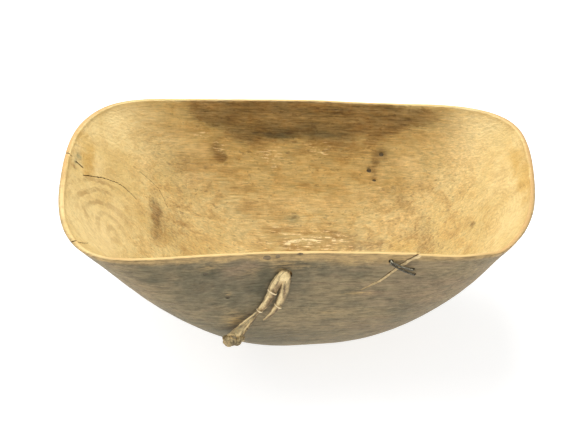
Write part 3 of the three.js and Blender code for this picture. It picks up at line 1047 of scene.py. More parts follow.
@dataclass
class Studio:
    """The camera, the lights and the floor."""

    target: tuple = (-8.335 * MM, 0.0, 116.08 * MM)
    yaw: float = radians(-1.047)
    elevation: float = radians(36.0)
    distance: float = 2.5
    lens: float = 159.4
    sensor_width: float = 36.0
    lamps: tuple = (
        ("overhead_light", (-0.15, 0.6, 1.7), 1.2, 30.5),
        ("left_light", (-1.1, 0.05, 1.2), 0.9, 8.0),
        ("front_light", (0.5, -1.9, 1.1), 1.2, 5.5),
    )
    lit_point: tuple = (0.0, 0.0, 0.1)
    room_glow: float = 0.41
    floor_size: float = 8.0

    def place_camera(self) -> None:
        """Sets up the long lens that the photograph's view needs."""
        back = Vector((0.0, -cos(self.elevation), sin(self.elevation)))
        turn = Matrix.Rotation(-self.yaw, 3, "Z")
        data = bpy.data.cameras.new("camera")
        data.lens = self.lens
        data.sensor_width = self.sensor_width
        camera = bpy.data.objects.new("camera", data)
        camera.location = turn @ (Vector(self.target) + back * self.distance)
        camera.rotation_euler = (turn @ back).to_track_quat("Z", "Y").to_euler()
        bpy.context.scene.collection.objects.link(camera)
        bpy.context.scene.camera = camera

    def add_area(self, name: str, place: tuple, size: float, power: float) -> None:
        """Adds a square soft light that looks at the bowl.

        Args:
            name: The light's name.
            place: Where it is.
            size: Its side's length.
            power: Its power in watts.
        """
        data = bpy.data.lights.new(name, "AREA")
        data.shape = "SQUARE"
        data.size = size
        data.energy = power
        lamp = bpy.data.objects.new(name, data)
        lamp.location = place
        back = Vector(place) - Vector(self.lit_point)
        lamp.rotation_euler = back.to_track_quat("Z", "Y").to_euler()
        bpy.context.scene.collection.objects.link(lamp)

    def light(self) -> None:
        """Adds a broad light overhead, weaker ones on the left and in front, and a pale room."""
        for name, place, size, power in self.lamps:
            self.add_area(name, place, size, power)
        world = bpy.data.worlds.new("room")
        world.use_nodes = True
        background = world.node_tree.nodes["Background"]
        background.inputs["Color"].default_value = (1.0, 1.0, 1.0, 1.0)
        background.inputs["Strength"].default_value = self.room_glow
        bpy.context.scene.world = world
        bpy.context.scene.view_settings.view_transform = "Standard"

    def lay_floor(self) -> None:
        """Lays the pale floor."""
        bm = bmesh.new()
        bmesh.ops.create_grid(bm, x_segments=1, y_segments=1, size=self.floor_size / 2)
        floor = make_object("floor", bm)
        floor.data.materials.append(StudioFloor().material())


# The carved bowl


@dataclass(frozen=True)
class Mark:
    """A soft-edged mark on the wood, in millimetres.

    Its edge wanders: by a share of its own reach where that is fine, and else by one amount.

    Attributes:
        middle: Where it is.
        reach: How far it reaches along X, Y and Z.
        strength: How strong it is in the middle.
        flatness: How evenly it is spread: 1 for a soft mark, more for one with a clearer edge.
        fine: The least reach below which it counts as fine.
        fine_drift: How far a fine mark's edge wanders, as a share of its least reach.
        coarse_drift: How far any other mark's edge wanders.
    """

    middle: tuple[float, float, float]
    reach: tuple[float, float, float]
    strength: float = 1.0
    flatness: float = 1.0
    fine: float = 10
    fine_drift: float = 0.6
    coarse_drift: float = 9

    def over(self, points: np.ndarray, drifts: tuple = ()) -> np.ndarray:
        """Gives the mark's strength at points.

        Args:
            points: The points.
            drifts: A coarse and a fine unevenness for each point, from -1 to 1 each way.

        Returns:
            One value for each point.
        """
        small = min(self.reach)
        if drifts:
            coarse, fine = drifts
            drift = fine * self.fine_drift * small if small < self.fine else coarse * self.coarse_drift
            points = points + drift
        apart = (points - np.array(self.middle)) / np.array(self.reach)
        return self.strength * np.exp(-((apart**2).sum(axis=-1) ** self.flatness))


class Stain(Enum):
    """What the wood's marks are painted with: stains, grime and wear, and among them painted light and
    shade.
    """

    UMBER_AND_SHADE = "umber"
    SOOT = "soot"
    AMBER = "amber"
    PALE_AND_LIT = "pale"
    FLECK_GLINT = "fleck_glint"
    GRIME_AND_SHADE = "grime_and_shade"
    PALE_STREAK_AND_LIT = "pale_streak_and_lit"
    ROSY = "rosy"


INSIDE_MARKS = {
    # Dark stains; the broad band down the far wall from the rim is also painted shade.
    Stain.UMBER_AND_SHADE: (
        Mark((10, 118, 154), (122, 60, 22), 0.8, 2.0),
        Mark((14, 118, 132), (100, 60, 20), 0.3, 1.5),
        Mark((12, 112, 108), (88, 50, 18), 0.2),
        Mark((47, 114, 107), (16, 20, 16), 0.1),
        Mark((104, 90, 73), (20, 20, 9), 0.3),
        Mark((-121, 124, 96), (22, 24, 12), 0.32),
        Mark((52, 118, 144), (16, 20, 6), 0.6),
        Mark((88, 117, 141), (16, 20, 8), 0.4),
        Mark((-60, 125, 126), (26, 20, 12), 0.45),
        Mark((82, 113, 108), (14, 20, 12), 0.3),
        Mark((172, 13, 100), (4, 6, 3), 0.7),
        Mark((-147, 60, 85), (10, 16, 11), 0.5),
        Mark((-141, 19, 77), (7, 18, 7), 0.35),
        Mark((-120, 46, 66), (40, 46, 20), 0.36, 1.3),
        Mark((-142, 50, 79), (6, 14, 6), 0.5),
        Mark((-100, 131, 148), (18, 30, 13), 0.35),
        Mark((20, 74, 28), (90, 22, 12), 0.36, 1.5),
        Mark((80, 60, 38), (40, 20, 10), 0.38),
        Mark((130, 36, 62), (30, 40, 14), 0.42, 1.3),
        Mark((-204.5, 37.5, 139.5), (8, 9, 4), 0.35),
        Mark((-218, 28.6, 153.4), (4, 4, 3), 1.0),
        Mark((-79, 126, 99), (5, 12, 6), 1.0),
        Mark((-85, 128, 110), (6, 14, 8), 0.5),
        Mark((84, 113, 113), (6, 14, 5), 0.3),
        Mark((77, 112, 100), (3, 12, 12), 0.3),
        Mark((72, 110, 96), (6, 10, 5), 0.25),
        Mark((76, 106, 86), (6, 10, 4), 0.3),
        Mark((150, 58, 90), (22, 26, 14), 0.2),
        Mark((128, 118, 154), (26, 20, 8), 0.3),
        Mark((0, 124, 163), (125, 40, 8), 0.45, 2.0),
    ),
    Stain.SOOT: (
        Mark((-5, 120, 133), (76, 50, 11), 0.36, 1.5),
        Mark((20, 120, 148), (60, 50, 10), 0.1),
        Mark((-88, 130, 140), (24, 20, 14), 0.4),
        Mark((112, 118, 144), (20, 20, 6), 0.15),
        Mark((50, 124, 143), (12, 20, 3), 0.3),
        Mark((-27, 124, 127), (20, 20, 2.6), 0.4),
        Mark((20, 124, 131), (34, 20, 4), 0.2),
        Mark((0, 120, 112), (80, 30, 12), 0.1),
        Mark((-143, 38, 80), (6, 14, 6), 0.2),
        Mark((-6, 93, 45), (14, 14, 6), 0.42),
        Mark((-215, 50, 152), (6, 8, 5), 0.7),
        Mark((-217, 37, 153), (5, 5, 3), 0.5),
        Mark((84, 113, 113), (3, 8, 3), 0.3),
        Mark((71.5, 110, 96), (2.6, 6, 2.6), 0.6),
        Mark((90, 106, 90), (4, 8, 2.6), 0.4),
        Mark((155, 62, 94), (3, 7, 2.6), 0.45),
        Mark((149, 55, 86), (2.4, 6, 2.4), 0.45),
        Mark((156, 28, 85), (2.6, 6, 2.4), 0.5),
        Mark((120, 50, 62), (26, 30, 12), 0.15),
    ),
    Stain.AMBER: (
        Mark((-211, 62, 151), (10, 34, 10), 0.6, 1.3),
        Mark((221, 0, 160), (10, 34, 12), 0.6, 1.3),
        Mark((210, 44, 152), (14, 34, 14), 0.55, 1.3),
        Mark((-203, 46, 138), (9, 20, 8), 0.5),
        Mark((107, 45, 48), (24, 24, 10), 0.4),
        Mark((20, 74, 28), (95, 24, 14), 0.42, 1.5),
        Mark((-120, 46, 66), (40, 46, 20), 0.3, 1.3),
    ),
    # Pale patches; those in the far corners are painted light.
    Stain.PALE_AND_LIT: (
        Mark((-198, 50, 134), (14, 14, 5), 0.7),
        Mark((-188, -50, 122), (22, 38, 26), 0.75),
        Mark((162, 98, 140), (34, 40, 26), 0.75),
        Mark((172, 108, 162), (20, 30, 12), 0.9),
        Mark((-170, 110, 140), (20, 24, 14), 0.45),
        Mark((-171, 128, 156), (18, 34, 12), 0.95),
        Mark((205, -40, 140), (16, 30, 20), 0.4),
        Mark((108, 107, 105), (20, 20, 12), 0.95),
        Mark((-130, 130, 119), (22, 20, 12), 0.85),
        Mark((-104, 126, 106), (20, 20, 9), 0.7),
        Mark((-150, 132, 142), (12, 20, 8), 0.7),
        Mark((-105, 113, 82), (20, 20, 8), 0.4),
        Mark((64, 103, 74), (16, 14, 7), 0.45),
        Mark((-179, 10, 112), (14, 20, 14), 0.45),
        Mark((34, 72, 30), (10, 12, 5), 0.6),
        Mark((-156, 100, 105), (12, 20, 12), 0.4),
        Mark((12, 101, 60), (48, 16, 9), 0.5, 1.5),
        Mark((102, 117, 151), (8, 20, 5), 0.6),
        Mark((80, 108, 91), (7, 14, 5), 0.4),
    ),
    # Painted glints on raised fibres.
    Stain.FLECK_GLINT: (
        Mark((-30, 121, 102), (14, 20, 12), 1.5),
        Mark((20, 121, 113), (12, 20, 8), 1.5),
        Mark((-98, 132, 124), (10, 16, 4), 1.1),
        Mark((-82, 129, 111), (8, 16, 10), 1.1),
        Mark((-13, 78, 30), (26, 22, 10), 0.8),
        Mark((30, 76, 31), (34, 20, 8), 1.0),
        Mark((84, 110, 80), (14, 14, 6), 0.6),
    ),
}
OUTSIDE_MARKS = {
    Stain.GRIME_AND_SHADE: (
        Mark((-28, -130, 145), (10, 20, 9), 0.9),
        Mark((-33, -130, 132), (11, 20, 11), 0.9),
        Mark((-52, -132, 128), (26, 20, 14), 0.3),
        Mark((-76, -134, 148), (12, 20, 8), 0.55),
        Mark((-110, -137, 148), (40, 20, 16), 0.4),
        # Painted shade: darkens the lower outer wall.
        Mark((0, -110, 55), (170, 60, 26), 0.65),
        Mark((-72, -132, 124), (40, 20, 9), 0.3),
        Mark((-63, -132, 118), (3, 8, 2), 1.4),
        Mark((-82, -135, 146), (5, 8, 3), 0.9),
        Mark((51, -123, 118), (14, 20, 7), 0.9),
        Mark((27, -125, 141), (8, 20, 8), 0.7),
        Mark((66, -124, 140), (16, 20, 7), 0.6),
        Mark((-140, -142, 156), (24, 20, 10), 0.5),
        Mark((24, -121, 94), (12, 20, 8), 0.5),
        Mark((9, -125, 118), (7, 14, 4), 0.6),
        Mark((92, -116, 92), (20, 20, 6), 0.6),
        Mark((-134, -139, 140), (14, 20, 4), 0.6),
        Mark((-4, -127, 165), (14, 12, 3), 0.8),
    ),
    Stain.ROSY: (
        Mark((136, -114, 115), (60, 40, 30), 0.8),
        Mark((60, -110, 66), (60, 40, 16), 0.7),
        Mark((-50, -132, 150), (18, 20, 12), 0.9),
        Mark((70, -122, 116), (14, 20, 8), 0.8),
        Mark((-155, -126, 118), (30, 30, 30), 0.4),
    ),
    Stain.PALE_STREAK_AND_LIT: (
        Mark((61, -122, 116), (14, 12, 1.6), 1.0),
        Mark((33, -120, 92), (9, 12, 1.6), 0.9),
        Mark((2, -124, 99.5), (13, 12, 0.8), 1.0),
        Mark((-63, -132, 121), (3, 12, 3), 0.6),
        Mark((14, -126, 150), (10, 12, 2), 0.7),
        Mark((-8, -128, 152), (14, 14, 5), 1.0),
        Mark((-79, -135, 155), (10, 14, 5), 0.6),
        Mark((-42, -131, 146), (8, 12, 6), 0.5),
        # Painted light: lightens the wall beside the knot, where the strip's shadow falls.
        Mark((-57, -127, 86), (9, 12, 10), 0.9),
    ),
}


@dataclass(frozen=True)
class Crack:
    """A crack in the wood, cut by a thin ragged blade, in millimetres.

    Attributes:
        name: What it is.
        width: Its width at its start and at its end.
        depth: Its depth at its start and at its end.
        chamfer: How wide its lower lip is worn away, at its start and at its end.
        spots: Its route, where it isn't the split's.
        upward: How much the blade comes down from above at each spot, and not out of the wall.
    """

    name: str
    width: tuple
    depth: tuple
    chamfer: tuple = (0.0, 0.0)
    spots: tuple = ()
    upward: tuple = ()


@dataclass(frozen=True)
class WireHole:
    """A hole for the wire stitch, in millimetres.

    Attributes:
        along: Its place along the bowl.
        drop: How far it lies below the rim's height.
        radius: Half its width.
    """

    along: float
    drop: float
    radius: float

    def place(self) -> tuple[float, float]:
        """Gives its place along the bowl and its drop, in metres."""
        return self.along * MM, self.drop * MM


LEFT_WIRE_HOLE = WireHole(89.3, 11.8, 2.3)
RIGHT_WIRE_HOLES = (WireHole(110.4, 20.5, 1.35), WireHole(111.8, 26.9, 1.2))


@dataclass(frozen=True)
class Pit:
    """A shallow knot hole or worm hole, in millimetres.

    Attributes:
        middle: A point on the surface.
        size: Half the pit's size along X, Y and Z.
        lift: How far its egg-shaped cutter is moved off the surface.
    """

    middle: tuple
    size: tuple
    lift: tuple


@dataclass
class CarvedBowl:
    """The bowl's body, with its split, its cracks and its holes.

    Its routes and marks, the split's shift, the dents' height and the end grain are in millimetres.
    """

    columns: int = 400
    outer_rows: int = 84
    lip_rows: int = 9
    inner_rows: int = 100
    swell: float = 0.7 * MM
    tool_mark: float = 0.35 * MM
    rim_wobble: float = 0.9 * MM
    keel_drift: float = 4.2 * MM
    nudges: tuple = (
        (Mark((160, -119, 165), (24, 30, 30), 1.4), (0, 0, -1)),
        (Mark((194, -103, 165), (17, 26, 30), 4.5), (0, 0, -1)),
        (Mark((-4, 127, 165), (92, 60, 55), 4.8), (0, 0.72, 0.48)),
        (Mark((212, 82, 160), (30, 44, 60), 5.0), (0.8, 0.5, 0)),
        (Mark((-214, 80, 155), (30, 50, 55), 2.6), (-0.8, 0.3, 0)),
        (Mark((-194, -104, 132), (40, 50, 34), 3.0), (1, 0, 0.2)),
    )
    end_grain_from: tuple = (130, 150)
    end_grain_fade: float = 60
    ringed_ends: tuple = (
        Mark((-192, 2, 126), (34, 54, 38), 1.2, 1.5),
        Mark((185, -5, 115), (45, 70, 48), 0.5, 1.5),
    )
    hole_radius: float = 5.75 * MM
    hole_flare: float = 0.5 * MM
    split_route: tuple = ((126, -6), (117, 2.5), (100.5, 13.8), (80.6, 33.2), (70, 40.5), (62, 45.5))
    split_step: float = 1.9 * MM
    split_fade: float = 34 * MM
    split_zone: tuple = (-20 * MM, -60 * MM, 50 * MM)
    split_shift: float = 0.7
    blade_steps: int = 70
    blade_proud: float = 3 * MM
    split_gap: Crack = Crack("split_gap", width=(1.6, 0.6), depth=(11, 1.5))
    split_lip: Crack = Crack("split_lip", width=(1.5, 0.5), depth=(2.0, 0.4), chamfer=(2.7, 0.5))
    cracks: tuple = (
        Crack(
            "drying_check",
            width=(1.1, 0.5),
            depth=(2.0, 0.9),
            chamfer=(1.2, 0.5),
            spots=(
                (-209, 27, 144),
                (-199, 38, 135),
                (-189, 48, 125.5),
                (-179, 55, 115),
                (-170, 56, 106),
                (-161, 53, 96.5),
            ),
            upward=(0, 0, 0, 0, 0, 0),
        ),
        Crack(
            "rim_crack",
            width=(1.8, 0.9),
            depth=(3.2, 1.2),
            spots=(
                (-231, 44, 160.5),
                (-227.5, 43.2, 161.4),
                (-224.5, 42.2, 161.2),
                (-221.9, 40.9, 159.8),
                (-218.8, 42.2, 156),
            ),
            upward=(0.9, 1.0, 0.9, 0.5, 0),
        ),
        Crack(
            "knot_crack",
            width=(2.2, 2.4),
            depth=(2.4, 1.8),
            spots=((-216, 38.6, 152.6), (-213.8, 38.7, 150.1), (-210.8, 38.4, 146.7), (-209.4, 38, 145.2)),
            upward=(0, 0, 0, 0),
        ),
        Crack(
            "corner_crack",
            width=(2.2, 0.3),
            depth=(3.2, 0.4),
            spots=(
                (-212, -113.5, 163),
                (-208.5, -111.5, 165.5),
                (-205, -109.5, 165.8),
                (-202, -106, 161),
                (-199, -95, 150.5),
                (-197, -87.8, 146),
            ),
            upward=(0.7, 1.0, 0.9, 0.4, 0, 0),
        ),
        Crack(
            "thin_check",
            width=(0.6, 0.4),
            depth=(0.8, 0.5),
            spots=((-160, 90, 105), (-150, 88, 96), (-140, 84, 86), (-131.5, 70, 75)),
            upward=(0, 0, 0, 0),
        ),
    )
    dent_height: float = 155
    pits: tuple = (
        Pit((83.9, 113, 112.5), (3.8, 2.4, 3.6), (0, -1.6, 0.7)),
        Pit((71.3, 109.8, 95), (3.2, 2.4, 3.2), (0, -1.2, 0.8)),
        Pit((75.5, 106.1, 85), (4.2, 2.2, 2.4), (0, -1.4, 0.9)),
        Pit((-25.5, -129.4, 161.7), (4.4, 2.0, 3.0), (0, -1.25, 0)),
        Pit((-15.7, -128.6, 162.7), (3.0, 2.0, 2.8), (0, -1.25, 0)),
        Pit((5.1, -127.1, 165), (4.0, 2.0, 1.8), (0, -1.0, 0)),
        Pit((-62.8, -132.3, 117.5), (2.8, 1.8, 2.0), (0, -0.7, 0)),
        Pit((-82.5, -135.4, 146.4), (3.0, 1.8, 1.6), (0, -1.1, 0)),
    )

    def rows(self, angles: np.ndarray) -> tuple[np.ndarray, np.ndarray, np.ndarray]:
        """Lays out the bowl's skin, from the keel over the rim to the floor.

        Args:
            angles: The angles of the columns.

        Returns:
            The points in rows and columns, and for each row how far it is inside and how far
            below the rim.
        """
        outer_depths = 1 - np.linspace(0.0, 1.0, self.outer_rows) ** 2
        inner_depths = 1 - np.linspace(1.0, 0.0, self.inner_rows) ** 2
        turns = np.linspace(0.0, pi, self.lip_rows + 2)[1:-1]
        rim_outer = FORM.outer(angles, np.zeros_like(angles))
        rim_inner = FORM.inner(angles, np.zeros_like(angles))
        places, inside, depth = [], [], []
        for level in outer_depths:
            places.append(self.lowered(FORM.outer(angles, np.full_like(angles, level)), level))
            inside.append(0.0)
            depth.append(level)
        for turn in turns:
            share = (1 - cos(turn)) / 2
            row = mix(rim_outer, rim_inner, share)
            row[:, 2] += FORM.lip_rise * (sin(turn) ** FORM.lip_square - 1)
            places.append(row)
            inside.append(share)
            depth.append(0.0)
        for level in inner_depths:
            places.append(self.lowered(FORM.inner(angles, np.full_like(angles, level)), level))
            inside.append(1.0)
            depth.append(level)
        return np.array(places), np.array(inside), np.array(depth)

    def lowered(self, row: np.ndarray, depth: float) -> np.ndarray:
        """Makes room for the rounded lip at the top of a wall."""
        row[:, 2] -= FORM.lip_rise * max(1 - depth / FORM.lip_share, 0)
        return row

    def carved(self, places: np.ndarray, inside: np.ndarray, depth: np.ndarray) -> np.ndarray:
        """Gives the smooth skin the unevenness of carving by hand, always into the wood.

        Args:
            places: The skin's points in rows and columns.
            inside: How far each row is inside.
            depth: How far each row is below the rim.

        Returns:
            The moved points.
        """
        normals = unit(np.cross(np.gradient(places, axis=1), np.gradient(places, axis=0)))
        normals[0] = (0.0, 0.0, -1.0)
        normals[-1] = (0.0, 0.0, 1.0)
        rise = rumble(places, 13.0) * 0.6 + rumble(places, 37.0, 5.0) * 0.3
        gouge = rumble(places * [0.5, 1.0, 1.0], 95.0, 11.0)
        cut = self.swell * (0.5 - 0.5 * rise) + self.tool_mark * (0.5 + 0.5 * gouge)
        share = np.minimum(np.abs(inside - 0.5) * 2, 1.0)[:, None]
        carved = places - normals * (cut * mix(0.35, 1.0, share))[..., None]
        wobble = 0.5 - 0.5 * rumble(places[self.outer_rows] * [1.0, 1.0, 0.0], 24.0, 8.0)
        fade = hump(depth, 0.0, 0.07)[:, None]
        carved[..., 2] -= fade * (self.rim_wobble * 0.7 * wobble)[None]
        for mark, heading in self.nudges:
            carved += mark.over(places / MM)[..., None] * np.array(heading) * MM
        carved[..., 0] += (smooth((depth - 0.05) / 0.4) * (1 - inside) * self.keel_drift)[:, None]
        return carved

    def blank(self) -> tuple[bpy.types.Object, KDTree, np.ndarray, np.ndarray]:
        """Builds the bowl before anything is cut.

        Returns:
            The bowl, a way to find the skin's nearest point to any place, and how far each of its
            points is inside and below the rim.
        """
        angles = FORM.even_angles(self.columns)
        places, inside, depth = self.rows(angles)
        places = self.carved(places, inside, depth)
        places[:, -1] = places[:, 0]
        places[0] = places[0].mean(axis=0)
        places[-1] = places[-1].mean(axis=0)
        places[..., 2] = np.maximum(places[..., 2], 0.0)
        body = bent_grid("bowl", places)
        lookup = skin_tree(places[:, :-1].reshape(-1, 3))
        row_of = np.repeat(np.arange(len(places)), self.columns)
        return body, lookup, inside[row_of], depth[row_of]

    def bar(self, name: str, middle: np.ndarray, radius: float, flare: float = 0.0) -> bpy.types.Object:
        """A round cutter through the front wall, wider at both faces by its flare.

        Args:
            name: The cutter's name.
            middle: A point on its axis, at the wall.
            radius: Its radius.
            flare: How much wider it is at the faces.

        Returns:
            The cutter.
        """
        reach = 20 * MM
        wall = 3.4 * MM
        steps = np.array([-reach, -wall, -wall * 0.55, 0.0, wall * 0.55, wall, reach])
        widths = np.array([flare * 3, flare, flare * 0.25, 0.0, flare * 0.25, flare, flare * 3]) + radius
        return rod(name, middle + np.outer(steps, -OUTWARD), widths, 40)

    def blade(
        self, crack: Crack, route: np.ndarray, normals: np.ndarray, lookup: KDTree | None = None
    ) -> bpy.types.Object:
        """A thin cutter with ragged sides for a crack.

        Args:
            crack: The crack's sizes.
            route: Its points on the wall, in rows.
            normals: The wall's direction outwards at each of them.
            lookup: A way to find the skin's nearest points, where the blade is to follow the skin.

        Returns:
            The cutter.
        """
        shares = np.linspace(0.0, 1.0, self.blade_steps)
        line = spline(route, shares)
        normal = unit(spline(normals, shares))
        if lookup:
            near = [np.mean([found[0] for found in lookup.find_n(point, 4)], axis=0) for point in line]
            line = line + normal * ((np.array(near) - line) * normal).sum(axis=1, keepdims=True)
        side = unit(np.cross(normal, np.gradient(line, axis=0)))
        jag = rumble(line, 260.0, 1.0) * 0.55 + rumble(line, 700.0, 1.0) * 0.3
        line = line + side * (jag * MM * np.minimum(1, 4 * np.minimum(shares, 1 - shares)))[:, None]
        half = mix(*crack.width, shares) / 2 * MM * (1 + 0.35 * rumble(line, 400.0, 4.0))
        deep = mix(*crack.depth, shares) * MM
        worn = mix(*crack.chamfer, shares) * MM * (1 + 0.4 * rumble(line, 330.0, 9.0))
        lip, proud = half + worn, np.full_like(half, self.blade_proud)
        level, dent = np.zeros_like(half), -worn * 0.75
        pairs = (
            (lip, proud), (-half, proud), (-half, level), (-0.7 * half, -0.45 * deep), (-0.2 * half, -deep),
            (0.2 * half, -deep), (0.7 * half, dent - 0.45 * (deep + dent)), (half, dent), (lip, level),
        )
        outline = np.stack([np.stack(pair, axis=1) for pair in pairs], axis=1)
        return bent_grid(crack.name, swept(line, side, normal, outline))

    def split_line(self) -> tuple[np.ndarray, np.ndarray]:
        """The split's route over the front wall, and the wall's directions outwards.

        Returns:
            The points and the directions, in rows.
        """
        points = []
        for along, drop in self.split_route:
            place = FORM.front_place(along * MM, max(drop, 3) * MM)
            place[2] = FORM.rim_height - drop * MM
            points.append(place)
        points = np.array(points)
        normals = unit(np.cross(np.gradient(points, axis=0), [1.0, 0.0, 0.6]))
        normals[normals[:, 1] > 0] *= -1
        return points, normals

    def inside_line(self, crack: Crack) -> tuple[np.ndarray, np.ndarray]:
        """A crack's route on the inside, and the directions that its blade comes from.

        Args:
            crack: The crack.

        Returns:
            The points and the directions, in rows.
        """
        points = np.array(crack.spots) * MM
        inward = unit(np.array([0.0, 0.0, 190.0]) * MM - points * [1.0, 1.0, 0.9])
        upward = np.array(crack.upward)[:, None]
        return points, unit(inward * (1 - upward) + np.array([0.0, 0.0, 1.0]) * upward)

    def pit_cutter(self, name: str, pit: Pit, lookup: KDTree) -> bpy.types.Object:
        """An uneven egg that cuts a shallow pit in the skin that is looked up.

        Args:
            name: The cutter's name.
            pit: The pit's sizes.
            lookup: A way to find the skin's nearest points.

        Returns:
            The cutter.
        """
        heading = Vector(pit.lift).normalized()
        middle = Vector(pit.middle) * MM
        middle += heading * (lookup.find(middle)[0] - middle).dot(heading) + Vector(pit.lift) * MM
        cutter = egg(name, middle, tuple(2 * size * MM for size in pit.size), 0.0)
        roughen(cutter, 260.0, 0.6 * MM)
        return cutter

    def open_split(self, points: np.ndarray) -> np.ndarray:
        """Draws the wood above the split inwards, so that its lower edge stands proud.

        Args:
            points: The bowl's points.

        Returns:
            The moved points.
        """
        route, _ = self.split_line()
        line = spline(route, np.linspace(0.0, 1.0, 200))[:, [0, 2]]
        left, front, low = self.split_zone
        near = (points[:, 1] < front) & (points[:, 2] > low) & (points[:, 0] > left)
        chosen = points[near][:, [0, 2]]
        apart = np.linalg.norm(chosen[:, None] - line[None], axis=2)
        closest = apart.argmin(axis=1)
        heading = np.gradient(line, axis=0)[closest]
        offset = chosen - line[closest]
        above = heading[:, 0] * offset[:, 1] - heading[:, 1] * offset[:, 0] < 0
        fade = hump(apart.min(axis=1), 0.0, self.split_fade) * (1 - closest / (len(line) - 1))
        drawn = np.zeros(len(points))
        drawn[near] = np.where(above, self.split_step * fade, 0.0)
        moved = points.copy()
        moved[:, 1] += drawn
        return moved

    def cutters(self, lookup: KDTree) -> list[bpy.types.Object]:
        """Makes every cutter, each with the wood that it lays bare.

        Args:
            lookup: A way to find the skin's nearest points.

        Returns:
            The closed pieces to cut the bowl with.
        """
        torn = TornWood().material()
        shaded = TornWood("shaded_wood", light=(0.13, 0.08, 0.03), shade=(0.05, 0.03, 0.012)).material()
        # Painted shade inside the split and the cracks.
        crack_shade = TornWood("crack_shade_wood", light=(0.34, 0.21, 0.075), shade=(0.15, 0.09, 0.03)).material()
        knot = TornWood("knot_wood", light=(0.20, 0.155, 0.09), shade=(0.06, 0.048, 0.03)).material()
        dent = TornWood("dent_wood", light=(0.36, 0.26, 0.14), shade=(0.17, 0.125, 0.065)).material()
        split_route, split_normals = self.split_line()
        split_route = split_route - split_normals * self.split_shift * MM
        cuts = [
            (self.bar("thong_hole", HOLE, self.hole_radius, self.hole_flare), shaded),
            (self.blade(self.split_gap, split_route, split_normals), crack_shade),
            (self.blade(self.split_lip, split_route, split_normals), torn),
        ]
        for k, hole in enumerate((LEFT_WIRE_HOLE, *RIGHT_WIRE_HOLES)):
            middle = FORM.front_place(*hole.place())
            cuts.append((self.bar(f"wire_hole_{k}", middle, hole.radius * MM), shaded))
        for crack in self.cracks:
            cuts.append((self.blade(crack, *self.inside_line(crack), lookup), crack_shade))
        for k, pit in enumerate(self.pits):
            wood = dent if pit.middle[2] > self.dent_height else knot
            cuts.append((self.pit_cutter(f"pit_{k}", pit, lookup), wood))
        for cutter, finish in cuts:
            cutter.data.materials.append(finish)
        return [cutter for cutter, _ in cuts]

    def build(self) -> None:
        """Builds the bowl, cuts it, paints its marks and dresses it."""
        body, lookup, inside_of, depth_of = self.blank()
        body.data.materials.append(CarvedWood().material())
        carve(body, self.cutters(lookup))
        mesh = body.data
        points = coordinates(mesh)
        nearest = np.array([lookup.find(point)[1] for point in points])
        points = self.open_split(points)
        set_coordinates(mesh, points)
        self.paint_marks(mesh, points, inside_of[nearest], depth_of[nearest])
        mesh.shade_smooth()
        mesh.set_sharp_from_angle(angle=radians(38))
        dress(body, None, "bowl", "bowl_body")

    def paint_marks(
        self, mesh: bpy.types.Mesh, points: np.ndarray, inside: np.ndarray, depth: np.ndarray
    ) -> None:
        """Stores where the wood is inside, worn, stained and grimy, and where glints and shade are painted
        on it.

        Args:
            mesh: The bowl's mesh.
            points: Its points.
            inside: How far each point is inside, from 0 to 1.
            depth: How far each point is below the rim, from 0 to 1.
        """
        below = depth * FORM.rim_height / MM
        within = inside > 0.5
        self.paint_rim(mesh, points, inside, below)
        self.paint_stains(mesh, points, within)
        self.paint_upper_wall(mesh, points, ~within, below)

    def paint_rim(
        self, mesh: bpy.types.Mesh, points: np.ndarray, inside: np.ndarray, below: np.ndarray
    ) -> None:
        """Stores where the wood is inside, where its ends show end grain, how the rim is worn, and a painted
        shade line along the inner lip at the ends.

        Args:
            mesh: The bowl's mesh.
            points: Its points.
            inside: How far each point is inside, from 0 to 1.
            below: How far each point is below the rim, in millimetres.
        """
        along, across = points[:, 0] / MM, points[:, 1] / MM
        front = smooth(0.5 - across / 60)
        left, right = self.end_grain_from
        ends = smooth(np.where(along < 0, -along - left, along - right) / self.end_grain_fade)
        front_left = smooth((-along - 150) / 40) * front
        worn = hump(inside, mix(0.3, 0.6, front), 0.5) * hump(below, 0.0, mix(1.6, 2.3, front))
        worn = worn * (1 - 0.2 * ends - 0.45 * front_left) * (1 + 0.35 * rumble(points, 60.0, 4.0))
        paint(mesh, "inside", smooth(inside * 2.2 - 0.2))
        paint(mesh, "rim", worn)
        # Painted shade: a line along the inner edge of the lip at the ends.
        paint(mesh, "lip_line_shade", (inside > 0.5) * ends * hump(below, 1.6, 1.3) * 0.7)
        paint(mesh, "end_grain", ends)

    def paint_upper_wall(
        self, mesh: bpy.types.Mesh, points: np.ndarray, without: np.ndarray, below: np.ndarray
    ) -> None:
        """Stores the tan fringe that is worn below the rim outside, and the painted shadow line under the
        rim's lip in it.

        Args:
            mesh: The bowl's mesh.
            points: Its points.
            without: Whether each point is outside.
            below: How far each point is below the rim, in millimetres.
        """
        along = points[:, 0] / MM
        uneven = rumble(points * [1.0, 0.4, 0.2], 40.0, 6.0)
        reach = 4.0 + (5.5 + 3.0 * uneven) * hump(along, -12, 26) + 1.2 * uneven
        reach = reach + 2.0 * hump(along, -80, 40) * (1 + uneven)
        reach = reach + 5.0 * hump(along, 40, 15) + 9.0 * hump(along, 68, 40)
        paint(mesh, "tan", without * hump(below, 0.0, np.maximum(reach, 0.8)))
        # Painted shadow just under the rim's lip outside, strongest towards the ends.
        corners = smooth((np.abs(along - 12) - 95) / 45)
        line = hump(below, 1.9, 1.3) * (0.75 + 0.5 * uneven)
        paint(mesh, "under_rim_shadow", without * line * (0.2 + 0.8 * corners))

